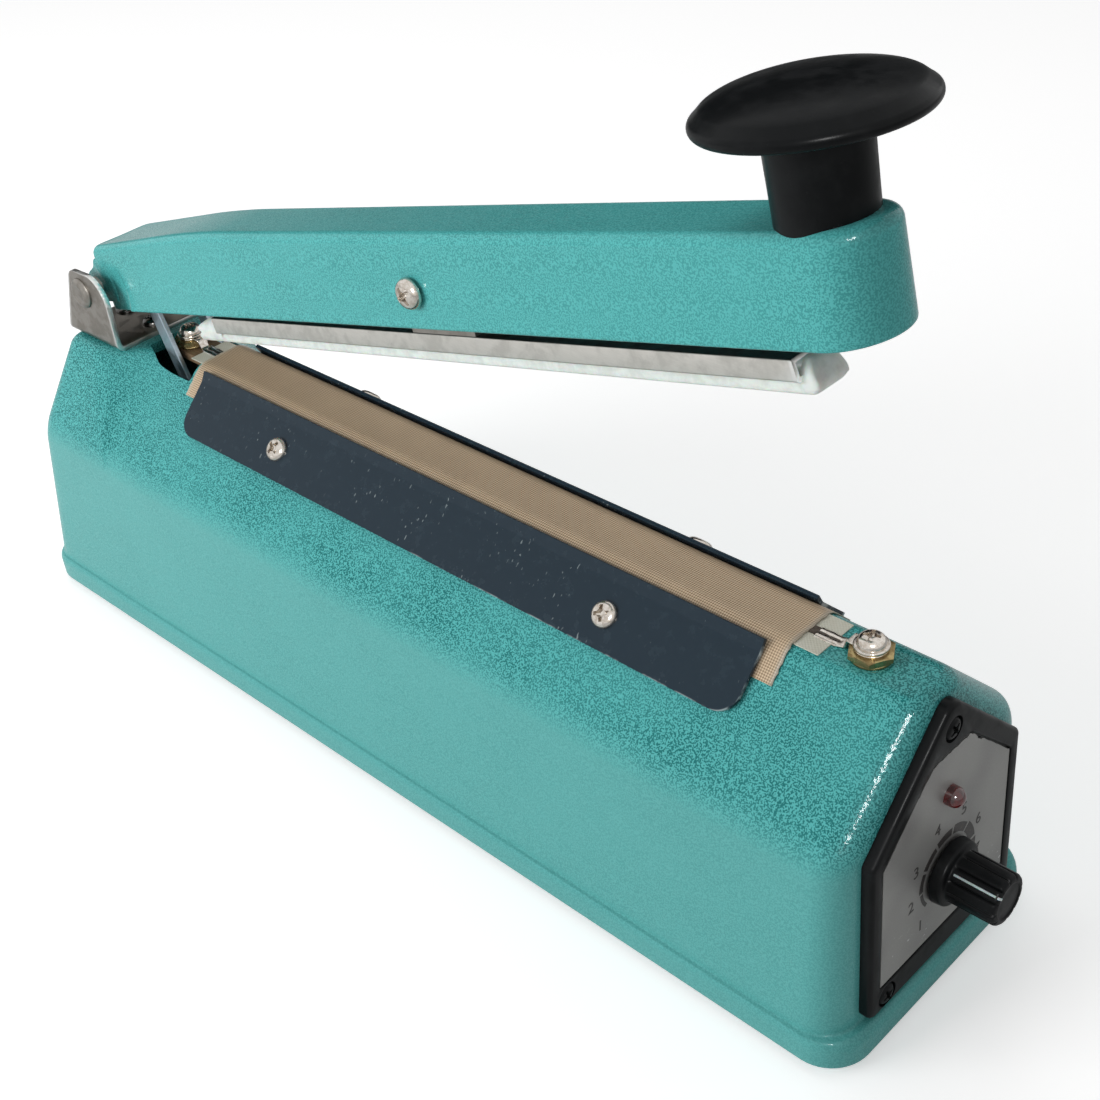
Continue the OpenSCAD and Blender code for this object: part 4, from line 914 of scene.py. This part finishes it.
def off_slope(run, rise):
    """Half width and height of a point by its distance down the slope and its height off it."""
    return (RIDGE_HALF + run * np.cos(SLOPE) + rise * np.sin(SLOPE),
            RIDGE_Z - run * np.sin(SLOPE) + rise * np.cos(SLOPE))


def cloth():
    """Cloth stretched over the ridge: a soft path across it, from one edge under a plate over
    the ridge to the other, carried along the ridge with a slight slackness, a sum of sines
    that fades at the plates. Its weave coordinates are along it and along that path."""
    edge, bend = off_slope(CLOTH_RUN, 0.19), off_slope(1.2, 0.3)
    top = CLOTH_TOP - CLOTH_THICK / 2
    half = [edge, bend, (RIDGE_HALF - 1.2, top), (0.0, top)]
    path = soft_path(np.array([(-y, z) for y, z in half[:-1]]
                              + [(y, z) for y, z in half[-2::-1]]),
                     [0, 1.2, 1.0, 1.0, 1.2, 0], [0, 1.0, 1.2, 1.2, 1.0, 0],
                     [9, 1, 14, 1, 9], [3, 3, 3, 3])
    x = np.linspace(PLATE_MIDDLE - CLOTH_LONG / 2, PLATE_MIDDLE + CLOTH_LONG / 2, 150)
    y, z = path.T[:, None]
    loose = np.clip(1 - (np.abs(y) / RIDGE_HALF) ** 4, 0, 1)
    wave = 0.022 * (np.sin(x[:, None] / 5.3 + y / 6) + np.sin(x[:, None] / 11.7 - y / 4))
    ends = np.zeros_like(x)
    ends[0], ends[-1] = -1, 1
    fray = ends[:, None] * 0.10 * (np.sin(y * 2.9) + np.sin(y * 7.1 + 1))
    points = np.stack([x[:, None] + fray - 0.2 * ends[:, None],
                       y + 0 * x[:, None], z + wave * loose + 0 * x[:, None]], -1)
    run = np.r_[0, np.cumsum(np.hypot(*np.diff(path, axis=0).T))]

    def weave(p):
        return np.c_[p[:, 0], np.interp(p[:, 1], path[:, 0], run), 0 * p[:, 0]] * MM

    def edge_mark(p):
        ends_in = np.minimum(p[:, 0] - x[0], x[-1] - p[:, 0])
        return np.clip(1 - ends_in / 1.6, 0, 1) * 0.8

    obj = piece("heat_cloth", [net(points)], "cloth_tan", replaces=["ptfe_cloth"],
                thick=CLOTH_THICK, marks={"weave": weave, "wear": edge_mark})


def side_plates():
    """Clamping plates: rows down the slope follow a bent profile, whose first millimetres turn
    over the ridge's edge, and the last rows draw in round both lower corners, by the length
    of a circle's chord there."""
    radius, mid = 6.0, PLATE_GAP + PLATE_THICK / 2
    upper = np.r_[np.linspace(0, 1, 12) * 3.4, np.linspace(3.6, PLATE_WIDE - radius, 10)]
    turn = np.linspace(0, np.pi / 2, 18)[1:]
    drop = np.r_[upper, PLATE_WIDE - radius + radius * np.sin(turn)]
    inset = np.r_[0 * upper, radius * (1 - np.cos(turn))]
    lift = 0.95 * np.clip(1 - drop / 3.2, 0, 1) ** 1.1
    share = np.sin(np.linspace(-np.pi / 2, np.pi / 2, 90))[None, :]
    half = (PLATE_LONG / 2 - inset)[:, None]
    start = 0.75 + drop * (PLATE_WIDE - 0.75) / PLATE_WIDE
    points = np.stack([PLATE_MIDDLE + half * share, start[:, None] + 0 * share,
                       (mid + lift)[:, None] + 0 * share], -1)

    for side, name in ((-1, "near"), (1, "far")):
        def worn(p, side=side):
            """1 at the lower corners' and the ends' edges."""
            run = ((side * p[:, 1] - RIDGE_HALF) * np.cos(SLOPE)
                   + (RIDGE_Z - p[:, 2]) * np.sin(SLOPE))
            ends = PLATE_LONG / 2 - np.abs(p[:, 0] - PLATE_MIDDLE)
            corner = np.hypot(np.clip(radius - ends, 0, None),
                              np.clip(run - PLATE_WIDE + radius, 0, None))
            near = np.where(corner > 0.5 * radius, radius - corner, ends)
            return np.clip(1 - near / 0.25, 0, 1) * (p[:, 0] > PLATE_MIDDLE)

        piece("clamp_plate_" + name, [move(net(points), on_slope(side))], "slate_paint",
              replaces=["side_plate_" + name], thick=PLATE_THICK, bevel=0.22,
              marks={"wear": worn})


def lug():
    """Crimped lug: a strip along a path from the tongue up a ramp to the ring, its half width
    the tongue's, then the ring's circle. The tongue is rolled over in two lengthwise folds,
    pressed flat in the middle of its length."""
    ring_radius, tongue_half, middle, rise = 3.8, 1.8, 0.3, 2.5
    s = np.r_[np.linspace(-14, -7, 26), np.linspace(-6.8, -4.4, 14),
              np.linspace(-4.2, ring_radius, 28)]
    z = rise * smooth((s + 6.4) / 1.3) + middle
    ring = np.sqrt(np.clip(ring_radius ** 2 - s ** 2, 0, None))
    strip = np.where(s < 0, tongue_half - 0.5 * np.exp(-(s + 6.2) ** 2), 0.0)
    wide = np.maximum(ring, strip)
    t = np.linspace(-1, 1, 17)[None, :]
    fold = (np.clip((-7.6 - s) / 0.8, 0, 1) * (1 - 0.45 * np.exp(-((s + 11) / 0.8) ** 2)))
    round_over = np.sqrt(np.clip(1 - ((np.abs(t) - 0.5) / 0.5) ** 2, 0, 1))
    bump = 0.4 * (round_over - 1) * fold[:, None]
    points = np.stack([s[:, None] + 0 * t, wide[:, None] * t, z[:, None] + bump], -1)
    return net(points)


def terminals():
    """At each end of the element: brass ring and nut, the lug, and a screw over a washer."""
    rings, nuts, lugs, screws = [], [], [], []
    for (x, side), spin in zip(TERMINALS, (20, 70)):
        place = lambda p, x=x, side=side: np.stack(
            [x + side * p[..., 0], p[..., 1], RIDGE_Z + p[..., 2]], -1)
        rings.append(move(washer(4.7, 2.25, 0.8), place))
        nuts.append(move(hexagon(9.6, 1.7, 2.08), lambda p: place(
            p @ turn_about_z(30) + [0, 0, 0.8])))
        lugs.append(move(lug(), place))
        screws.append(move(washer(4.0, 2.0, 0.8), lambda p: place(p + [0, 0, 3.1])))
        screws += moved(screw(3.3, 2.2, 2.0, 12),
                        lambda p: place(p @ turn_about_z(spin) + [0, 0, 3.9]))
    piece("terminal_ring_set", rings, "brass", replaces=["terminal_washers"])
    piece("terminal_nut_set", nuts, "brass", replaces=["terminal_nuts"], sharp=20)
    piece("lug_set", lugs, "screw_steel", replaces=["element_lugs"], thick=0.5)
    piece("terminal_screw_set", screws, "screw_steel", replaces=["terminal_screws"])


# ---- hinge, link and spring ----

def bracket():
    """Bracket bent from one sheet: the rows follow a U, down one ear, over the foot and up the
    other ear, and each row runs between the ear's two edges at that height. The front edge is
    upright and turns over a large circle; the rear edge leans and turns over a small one."""
    foot, high, half_wide, turned_over = PLATFORM_Z + 0.75, 108.5, 16.25, 2.4
    rear, front = -147.5, -121.0
    arc = np.radians(np.arange(0, 91, 3))
    front_z = np.r_[foot - 1, 99.5 + 9.0 * np.sin(arc)]
    front_x = np.r_[front, front - 9.0 + 9.0 * np.cos(arc)]
    lean = np.radians(np.arange(157, 89, -3))
    rear_z = np.r_[foot - 1, 86.8, 104.7 + 3.6 * np.sin(lean), high]
    rear_x = np.r_[rear, rear, -136.2 + 3.6 * np.cos(lean), front - 9.0]
    rise = (np.sin(np.linspace(np.pi / 2, 0.0, 60)) * (high - foot - turned_over)
            + foot + turned_over)
    leg = np.stack([np.full(60, -half_wide), rise], -1)
    turn = soft_path(np.array([(-half_wide, foot + turned_over), (-half_wide, foot),
                               (0, foot)]), [0, 1.9, 0], [0, 1.9, 0], [2, 14], [8])
    half = np.concatenate([leg[:-1], turn])
    section = np.concatenate([half, half[-2::-1] * [-1, 1]])
    z = section[:, 1]
    right, left = np.interp(z, front_z, front_x), np.interp(z, rear_z, rear_x)
    across = np.linspace(0, 1, 22)[None, :]
    points = np.stack([left[:, None] * (1 - across) + right[:, None] * across,
                       section[:, :1] + 0 * across, section[:, 1:] + 0 * across], -1)

    def bright(p):
        """1 along the cut edges of the sheet."""
        near = np.minimum(p[:, 0] - np.interp(p[:, 2], rear_z, rear_x),
                          np.interp(p[:, 2], front_z, front_x) - p[:, 0])
        ears = np.clip((np.abs(p[:, 1]) - 14.0) / 1.5, 0.35, 1)
        return np.clip(1 - np.minimum(near, high - p[:, 2]) / 0.5, 0, 1) * 0.9 * ears

    piece("bracket_sheet", [net(points)], "sheet_steel", replaces=["hinge_bracket"],
          thick=1.5, bevel=0.35, marks={"wear": bright})
    head = [(0, 1.15), (2.1, 1.2), (2.9, 1.5), (3.7, 1.35), (4.8, 0.5), (4.8, 0), (0, 0)]
    half_pin = 17.0
    pin = [move(turned([(0, -half_pin), (3, -half_pin), (3, half_pin), (0, half_pin)],
                       0.1, 40, 2), standing(HINGE, (0, 1, 0)))]
    for side in (-1, 1):
        pin.append(move(turned(head, [0, .5, .4, .4, .3, 0, 0], 56),
                        standing(HINGE + [0, side * half_pin, 0], (0, side, 0))))
    piece("pin_rivet", pin, "sheet_steel", replaces=["hinge_pin"])


def link():
    """Two flat strips with round heads on the link pin, joined by the foot plate that squeezes
    the spring, each an outline with soft corners given its thickness."""
    pin = on_arm(np.array([20.0, 0.0, -0.3]))
    low = np.array([-96.0, 60.75])
    down = unit(low - pin[[0, 2]])
    side = np.array([-down[1], down[0]])
    length = np.hypot(*(low - pin[[0, 2]]))
    angle = np.radians(np.linspace(-118, 118, 22))
    head = [(-3.8 * np.cos(a), 3.8 * np.sin(a)) for a in angle]
    loop = np.array(head + [(4.5, 2.5), (length, 2.5), (length, -2.5), (4.5, -2.5)])
    plan = pin[[0, 2]] + loop[:, :1] * down + loop[:, 1:] * side
    parts = [move(slab(plan, y, y + 1.5), sideways) for y in (-7.8, 6.3)]
    foot = soft_loop([(-103, -7.8), (-72, -7.8), (-72, 7.8), (-103, 7.8)], 1.2)
    parts.append(slab(foot, 60.0, 61.5))
    piece("link_strips", parts, "link_metal", "link", ["link_fork"], bevel=0.25,
          marks={"wear": lambda p: 0 * p[:, 0]})


def spring():
    """Return spring: wire carried along a helix, its pitch closing up in the end turns."""
    turns, radius, wire = 6.0, 5.5, 0.55
    t = np.linspace(0, 1, 420)
    rise = t - 0.05 * np.sin(2 * np.pi * t)
    a = 2 * np.pi * turns * t
    line = np.stack([-96 + radius * np.cos(a), radius * np.sin(a), 24.75 + 34.5 * rise], -1)
    obj = piece("spring_wire", [tube(line, wire)], "sheet_steel", "base", ["return_spring"])
    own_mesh(obj)


# ---- pressing bar ----

def pressing_bar():
    """Channel open below with inward lips, as a closed cross-section carried along the arm, its
    front edge cut aslant and torn a little. Its back is dull and painted dark, a painted shade
    under the arm. The silicone's cross-section is a bead, a waist and a keeper in the channel,
    and passes smoothly into a full block beyond each end of it. Rings drawn in towards the
    middle close the ends over their slants."""
    inner = [(3.2, -15.2), (3.2, -14.2), (5.8, -14.2), (5.8, -11.3), (-5.8, -11.3),
             (-5.8, -14.2), (-3.2, -14.2), (-3.2, -15.2)]
    outer = [(-6.8, -15.2), (-6.8, -10.3), (6.8, -10.3), (6.8, -15.2)]
    section = soft_loop(outer + inner, [0.5, 0.35, 0.35, 0.5] + [0.2] * 8, 4)
    rng = np.random.default_rng(7)
    torn = rng.random(len(section)) * 0.35
    front = 265.3 - 0.16 * (section[:, 1] + 10.3) + torn
    share = np.r_[np.linspace(0, 0.995, 40), 0.9985, 1][:, None]
    x = 52.0 * (1 - share) + front * share
    points = np.stack([0 * share + section[:, 0], 0 * share + section[:, 1], x], -1)
    ring = np.arange(len(section))
    caps = (np.concatenate([points[0], points[-1]]),
            [ring[::-1].tolist(), (ring + len(section)).tolist()])

    def torn_edge(p):
        along, up = in_arm(p)
        return np.clip((along - 264.6) / 0.6, 0, 1) * (up < -10.5)

    # The second mark darkens the channel's top face, under the arm, to dark grey: painted shade.
    piece("channel_strip", moved([net(points, wrap_v=True), caps], along_bar),
          "bar_metal", "press_bar", ["bar_channel"], sharp=30,
          marks={"wear": torn_edge,
                 "painted_shade": lambda p: np.clip((in_arm(p)[1] + 10.6) / 0.25, 0, 1)})

    held = soft_loop([(-4.6, -18.9), (4.6, -18.9), (4.6, -15.25), (3.1, -15.25), (3.1, -14.1),
                      (5.0, -14.1), (5.0, -11.4), (-5.0, -11.4), (-5.0, -14.1), (-3.1, -14.1),
                      (-3.1, -15.25), (-4.6, -15.25)],
                     [0.9, 0.9, .3, .2, .2, .3, .3, .3, .3, .2, .2, .3], 4)
    full = soft_loop([(-4.6, -18.9), (4.6, -18.9), (5.15, -17.4), (5.3, -16.2), (5.2, -15),
                      (4.8, -13.4), (3.2, -11.2), (-3.2, -11.2), (-4.8, -13.4), (-5.2, -15),
                      (-5.3, -16.2), (-5.15, -17.4)],
                     [1.0, 1.0, .4, .5, .5, .7, 1.2, 1.2, .7, .5, .5, .4], 4)

    def nose(z):
        return np.interp(z, [-18.9, -18.3, -17.1, -16.0, -11.2],
                         [267.8, 268.7, 269.8, 269.6, 267.4])

    def tail(z):
        notch = 1.6 * np.exp(-((z + 16.0) / 0.7) ** 2)
        return 37.6 + notch + np.clip((z + 14.6) / 3.4, 0, 1) ** 1.3 * 9.0

    middle = np.array([0.0, -15.2])
    rag = 0.7 * rng.random(len(full))
    rows = []
    for draw, back in ((0, 0), (0.35, 0), (0.7, 0.05), (0.88, 0.3), (0.97, 0.9), (1, 1.6)):
        loop = middle + (full - middle) * draw
        rows.append(np.c_[loop, tail(loop[:, 1]) + back + rag * (draw > 0.8)])
    blocks = [(49.4, 1), (50.5, 1), (51.6, 1), (52.3, 0),
              *((x, 0) for x in np.linspace(60, 260, 40)), (265.0, 0), (265.6, 1), (265.95, 1)]
    for x, block in blocks:
        rows.append(np.c_[full * block + held * (1 - block), np.full(len(full), x)])
    for draw, back in ((1, 1.3), (0.985, 0.7), (0.94, 0.3), (0.84, 0.07), (0.6, 0), (0.3, 0),
                       (0, 0)):
        loop = middle + (full - middle) * draw
        rows.append(np.c_[loop, nose(loop[:, 1]) - back])
    piece("silicone_bead", [move(net(np.stack(rows), wrap_v=True), along_bar)],
          "silicone", "press_bar", ["silicone_strip"], sharp=50)


# ---- knob, panel and dial ----

def knob():
    """Mushroom knob: a lathe of the dome, an ellipse; the rim, a small circle; the underside, a
    shallow quarter ellipse; and the stem. It stands a little more upright than the arm."""
    dome = np.radians(np.linspace(0, 74, 26))
    edge = np.radians(np.linspace(62, -58, 14))
    under = np.radians(np.linspace(88, 0, 20))
    rim, stem = 1.6, 10.5
    round_to = 23.0 - rim
    profile = np.concatenate([
        np.c_[round_to * np.sin(dome), 21.8 + 4.5 * np.cos(dome)],
        np.c_[round_to + rim * np.cos(edge), 20.2 + rim * np.sin(edge)],
        np.c_[stem + (round_to - stem) * np.sin(under), 18.8 - np.cos(under)],
        [(10.48, 16.6), (10.4, 12.0), (10.25, 6.0), (10.1, -1.4), (0, -1.4)]])
    lean = np.radians(-5.4)
    c, s = np.cos(lean), np.sin(lean)

    def place(p):
        x, z = p[:, 0] * c - p[:, 2] * s, p[:, 0] * s + p[:, 2] * c
        return on_arm(np.stack([KNOB_REACH + x, p[:, 1], ARM_TOP + z], -1))
    piece("knob_mushroom", [move(lathe(profile, 96), place)], "black_plastic", "arm",
          ["arm_knob"], sharp=50)


def bezel():
    """Panel surround: rings from the back over the rounded outer edge and the face to the inner
    lip and the floor of the label's recess, each a house-shaped outline with soft corners."""
    def house(half, low, eave, top, tip, corner, out, crown):
        loop = np.array([(half, low), (half, eave), (tip, top), (-tip, top), (-half, eave),
                         (-half, low)])
        cut = [corner, 0.8, crown, crown, 0.8, corner]
        return np.c_[soft_loop(loop, cut, 6), np.full(42, out)]
    #      half    low   eave   top   tip  corner  out      crown
    rows = [(28.3, 9.5, 56.8, 83.4, 1.7, 2.2, FRONT_X, 1.6),
            (28.3, 9.5, 56.8, 83.4, 1.7, 2.2, 161.2, 1.6),
            (28.2, 9.6, 56.75, 83.25, 1.7, 2.2, 161.8, 1.6),
            (27.85, 9.95, 56.6, 82.9, 1.6, 2.1, 162.25, 1.5),
            (27.2, 10.6, 56.35, 82.2, 1.5, 1.9, BEZEL_X, 1.4),
            (25.0, 17.0, 54.2, 71.4, 7.3, 0.9, BEZEL_X, 0.9),
            (24.75, 17.25, 54.05, 71.15, 7.2, 0.8, 162.4, 0.8),
            (24.6, 17.4, 53.9, 71.0, 7.15, 0.8, 162.1, 0.8),
            (24.6, 17.4, 53.9, 71.0, 7.15, 0.8, 161.7, 0.8)]
    rings = np.stack([house(*row) for row in rows])
    ring = np.arange(42)
    caps = [(rings[i], [ring.tolist()]) for i in (0, -1)]
    obj = piece("panel_surround", moved([net(rings, wrap_v=True), *caps], on_panel),
                "black_plastic", replaces=["panel_bezel"], sharp=40)
    turn = np.linspace(0, 2 * np.pi, 40, endpoint=False)
    round_ = lambda radius, y, z: np.c_[y + radius * np.cos(turn), z + radius * np.sin(turn)]
    wells = [slab(round_(3.2, y, z), 161.3, 170) for y, z in PANEL_SCREWS]
    wells.append(slab(round_(4.1, 0, DIAL_Z), 155, 170))
    cut_through(obj, moved(wells, on_panel))


def label():
    """Foil label: its outline follows the recess, and its upper edges are frayed by small steps
    in and out. The dial's scale is a ring of eight growing blocks with a number beside each."""
    corners = np.array([(24.3, 17.7), (24.3, 53.76), (7.2, 70.8), (-7.2, 70.8), (-24.3, 53.76),
                        (-24.3, 17.7)])
    t = np.linspace(0, 1, 40, endpoint=False)[:, None]
    sides = [corners[i] * (1 - t) + corners[(i + 1) % 6] * t for i in range(6)]
    loop = np.concatenate(sides)
    rng = np.random.default_rng(3)
    rough = np.convolve(rng.random(len(loop)), [0.3, 0.4, 0.3], "same")
    inward = unit(np.array([0.0, 42.0]) - loop)
    amount = np.where(loop[:, 1] > 66, 0.9, np.where(loop[:, 1] > 54, 0.35, 0.06))
    loop = loop + inward * (rough * amount)[:, None]
    foil = move(slab(loop, BEZEL_X - 0.8, BEZEL_X - 0.22), on_panel)
    piece("label_foil", [foil], "label_silver", replaces=["panel_label"], sharp=30)

    marks = []
    for k in range(8):
        start, end = np.radians(-141 - 36 * k), np.radians(-141 - 36 * (k + 1) + 4.5)
        a = np.linspace(start, end, 14)
        arc = np.c_[np.cos(a), np.sin(a)]
        inner, outer = 8.9, 9.9 + 0.34 * k
        block = np.concatenate([arc * outer, arc[::-1] * inner])
        block[:, 1] += DIAL_Z
        marks.append(move(slab(block, BEZEL_X - 0.24, BEZEL_X - 0.17), on_panel))
    obj = piece("dial_scale", marks + numbers(), "label_silver")
    obj.data.materials.clear()
    obj.data.materials.append(PRINT)


def numbers():
    """Upright figures 1 to 8 round the dial, each a text turned into a thin mesh."""
    made = []
    for k in range(8):
        curve = bpy.data.curves.new("figure", "FONT")
        curve.body, curve.size, curve.extrude = str(k + 1), 4.6, 0.035
        curve.align_x = curve.align_y = "CENTER"
        curve.resolution_u = 3
        holder = add("figure", curve)
        bpy.context.view_layer.update()
        mesh = bpy.data.meshes.new_from_object(holder)
        points = points_of(mesh)
        faces = [list(p.vertices) for p in mesh.polygons]
        angle = np.radians(-130 - 41.5 * k)
        reach = 13.2 + 1.6 * abs(np.sin(angle))
        centre = [reach * np.cos(angle), DIAL_Z + reach * np.sin(angle), BEZEL_X - 0.2]
        made.append((on_panel(points + centre), faces))
        bpy.data.objects.remove(holder)
        bpy.data.curves.remove(curve)
        bpy.data.meshes.remove(mesh)
    return made


def dial():
    """Time dial: round its axis the radius is that of a turned profile, less narrow grooves, a
    power of a cosine of the angle, between the skirt and the tip's round edge."""
    turn = np.linspace(0, 2 * np.pi, 192, endpoint=False)[None, :]
    cuts = [0, .2, .2, .4, .5, .25, .9, .2, .1, 0]
    profile = soft_path(np.array([(0, 2.4), (7.0, 2.4), (7.0, 0), (8.25, 0), (7.95, 2.9),
                                  (6.4, 3.4), (6.3, 15.2), (4.6, 15.5), (4.3, 15.15),
                                  (0, 15.15)]),
                        cuts, cuts,
                        [3, 1, 1, 2, 2, 20, 2, 1, 3], [2, 2, 3, 4, 3, 5, 2, 2])
    r, h = profile.T[:, :, None]
    body = np.clip((h - 3.5) / 0.8, 0, 1) * np.clip((r - 4.9) / 1.0, 0, 1)
    groove = np.clip(np.cos(12 * turn), 0, 1) ** 6
    r = r - 0.55 * groove * body
    points = np.stack([r * np.cos(turn), r * np.sin(turn), h + 0 * turn], -1)
    place = standing((DIAL_BACK, 0, DIAL_Z), (1, 0, 0), 0)
    piece("dial_fluted", [move(net(points, wrap_v=True), place)], "black_plastic", "dial",
          ["dial_knob"], sharp=45)
    line = slab(soft_loop([(4.5, -0.28), (6.25, -0.28), (6.25, 0.28), (4.5, 0.28)], 0.1, 2),
                15.0, 15.49)
    flank = [line, slab(soft_loop([(5.9, -0.25), (6.42, -0.25), (6.42, 0.25), (5.9, 0.25)],
                                  0.05, 2), 4.2, 14.6)]
    # A thin white line across the tip and down one flank of the dial.
    piece("dial_white_line", [move(p, standing((DIAL_BACK, 0, DIAL_Z), (1, 0, 0), 135))
                           for p in flank], "silicone", "dial")


def lamp():
    """Indicator lamp: a short barrel under a half-round dome."""
    dome = np.radians(np.linspace(90, 0, 18))
    profile = np.concatenate([np.c_[2.5 * np.cos(dome), 4.0 + 2.5 * np.sin(dome)],
                              [(2.5, -5.0), (0, -5.0)]])
    piece("lamp_dome", [move(lathe(profile, 48), standing((FRONT_X, 0, LAMP_Z), (1, 0, 0)))],
          "lamp_red", replaces=["indicator_lamp"])


def feet_and_inlet():
    """Rubber feet with soft edges and a dimple, and the flanged bush in the rear wall."""
    foot = [(0, 0.5), (4.5, 0.5), (5.2, 0), (7.0, 0), (8.0, 3.7), (0, 3.7)]
    parts = [move(turned(foot, [0, .3, .3, .9, .3, 0], 48),
                  standing((x, y, -FOOT_LIFT))) for x in (-130, 130) for y in (-24, 24)]
    piece("rubber_feet", parts, "black_rubber", replaces=["feet"])
    rear_x = -161.5 + 13.0 * np.tan(REAR_LEAN)
    loop = soft_loop([(3.5, -4.75), (7.2, -4.75), (7.2, -3.15), (6.1, -3.15), (6.1, 0.1),
                      (8.0, 0.1), (8.0, 1.7), (3.5, 1.7)],
                     [.4, .6, .2, .1, .1, .2, .8, .6], 3)
    out = (-np.cos(REAR_LEAN), 0, np.sin(REAR_LEAN))
    piece("inlet_bush", [move(lathe(loop, 64, closed=True), standing((rear_x, 0, 20.0), out))],
          "black_rubber", replaces=["cable_grommet"])


# ---- camera, light and floor ----

def camera():
    """Camera above and to the left of the panel, rolled a little."""
    az, el, roll = np.radians([47.29, 34.59, -6.18])
    back = np.array([np.sin(az) * np.cos(el), -np.cos(az) * np.cos(el), np.sin(el)])
    right = np.array([np.cos(az), np.sin(az), 0.0])
    up = np.cross(back, right)
    x = np.cos(roll) * right + np.sin(roll) * up
    y = -np.sin(roll) * right + np.cos(roll) * up
    data = bpy.data.cameras.new("camera")
    data.lens, data.sensor_width = 54.29, 36.0
    data.shift_x, data.shift_y = -0.0140, -0.0114
    data.clip_start, data.clip_end = 0.01, 20.0
    obj = add("camera", data)
    turn = Matrix([[x[i], y[i], back[i], 0.0] for i in range(3)] + [[0, 0, 0, 1]])
    turn.translation = Vector((0.2919, -0.2304, 0.3152))
    obj.matrix_world = turn
    bpy.context.scene.camera = obj


def lamp_panel(name, place, aim, size, power, mirrored=True, lights=True):
    """Soft rectangular lamp that faces a point. It either gives light without showing in
    glossy finishes, or shows in them without giving light, or both."""
    data = bpy.data.lights.new(name, "AREA")
    data.shape, data.size, data.size_y, data.energy = "RECTANGLE", size[0], size[1], power
    obj = add(name, data)
    obj.location = place
    obj.rotation_euler = (Vector(place) - Vector(aim)).to_track_quat("Z", "Y").to_euler()
    obj.visible_glossy, obj.visible_diffuse = mirrored, lights


AMBIENT = 0.36           # strength of the surroundings as light
FLOOR_LIFT = 0.46        # glow that takes the lit floor up to white, for camera rays only


def studio():
    """White floor, surroundings that are white to the camera and in reflections, a black card
    on the far left that only reflections show, a large soft lamp on the left, a weak one
    overhead, and a small one behind the camera that only reflections show."""
    floor = add("floor", mesh_of("floor", [(-6, -6, 0), (6, -6, 0), (6, 6, 0), (-6, 6, 0)],
                                 [(0, 1, 2, 3)]))
    paper = bpy.data.materials.new("floor_paper")
    tree = node_tree(paper)
    seen = add_node(tree, "ShaderNodeLightPath").outputs["Is Camera Ray"]
    lift = add_node(tree, "ShaderNodeMath", {0: seen, 1: FLOOR_LIFT}, operation="MULTIPLY")
    feed(tree, tree.nodes["Principled BSDF"], {
        "Base Color": (0.9, 0.9, 0.9, 1), "Roughness": 0.9, "Specular IOR Level": 0.0,
        "Emission Color": (1, 1, 1, 1), "Emission Strength": lift.outputs[0]})
    floor.data.materials.append(paper)

    card = add("dark_card", mesh_of("dark_card", [(-1.9, 0.2, 0.12), (-0.35, 1.75, 0.12),
                                                  (-0.35, 1.75, 1.25), (-1.9, 0.2, 1.25)],
                                    [(0, 1, 2, 3)]))
    black = bpy.data.materials.new("card_black")
    tree = node_tree(black)
    feed(tree, tree.nodes["Principled BSDF"], {"Base Color": (0, 0, 0, 1),
                                               "Specular IOR Level": 0.0})
    card.data.materials.append(black)
    card.visible_camera = card.visible_diffuse = card.visible_shadow = False

    world = bpy.data.worlds.new("surroundings")
    bpy.context.scene.world = world
    tree = node_tree(world)
    rays = add_node(tree, "ShaderNodeLightPath").outputs
    seen = rays["Is Camera Ray"]
    for kind in ("Is Transmission Ray", "Is Glossy Ray"):
        seen = add_node(tree, "ShaderNodeMath", {0: seen, 1: rays[kind]},
                        operation="MAXIMUM").outputs[0]
    strength = add_node(tree, "ShaderNodeMapRange", {"Value": seen, "To Min": AMBIENT,
                                                     "To Max": 1.0})
    feed(tree, tree.nodes["Background"], {"Color": (1, 1, 1, 1),
                                          "Strength": strength.outputs["Result"]})

    lamp_panel("window", (-0.55, -1.05, 0.50), (0, 0, 0.06), (0.8, 0.6), 10.0, False)
    lamp_panel("overhead", (-0.25, 0.15, 1.10), (0, 0, 0.05), (0.7, 0.5), 2.0, False)
    lamp_panel("behind_camera", (0.92, -0.86, 0.90), (0.1, 0, 0.05), (0.26, 0.26), 12.0,
               lights=False)
    bpy.context.scene.view_settings.view_transform = "Standard"


def dress_frame():
    """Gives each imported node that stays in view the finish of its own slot."""
    for part in frame["record"]["subparts"]:
        node = frame["nodes"][part["node"]]
        node.data.materials.clear()
        node.data.materials.append(FINISHES[part["material_slot"]])


for make in (camera, studio, dress_frame, housing, arm_shell, fasteners, cloth, side_plates,
             terminals, bracket, link, spring, pressing_bar, knob, bezel, label, dial, lamp,
             feet_and_inlet):
    make()
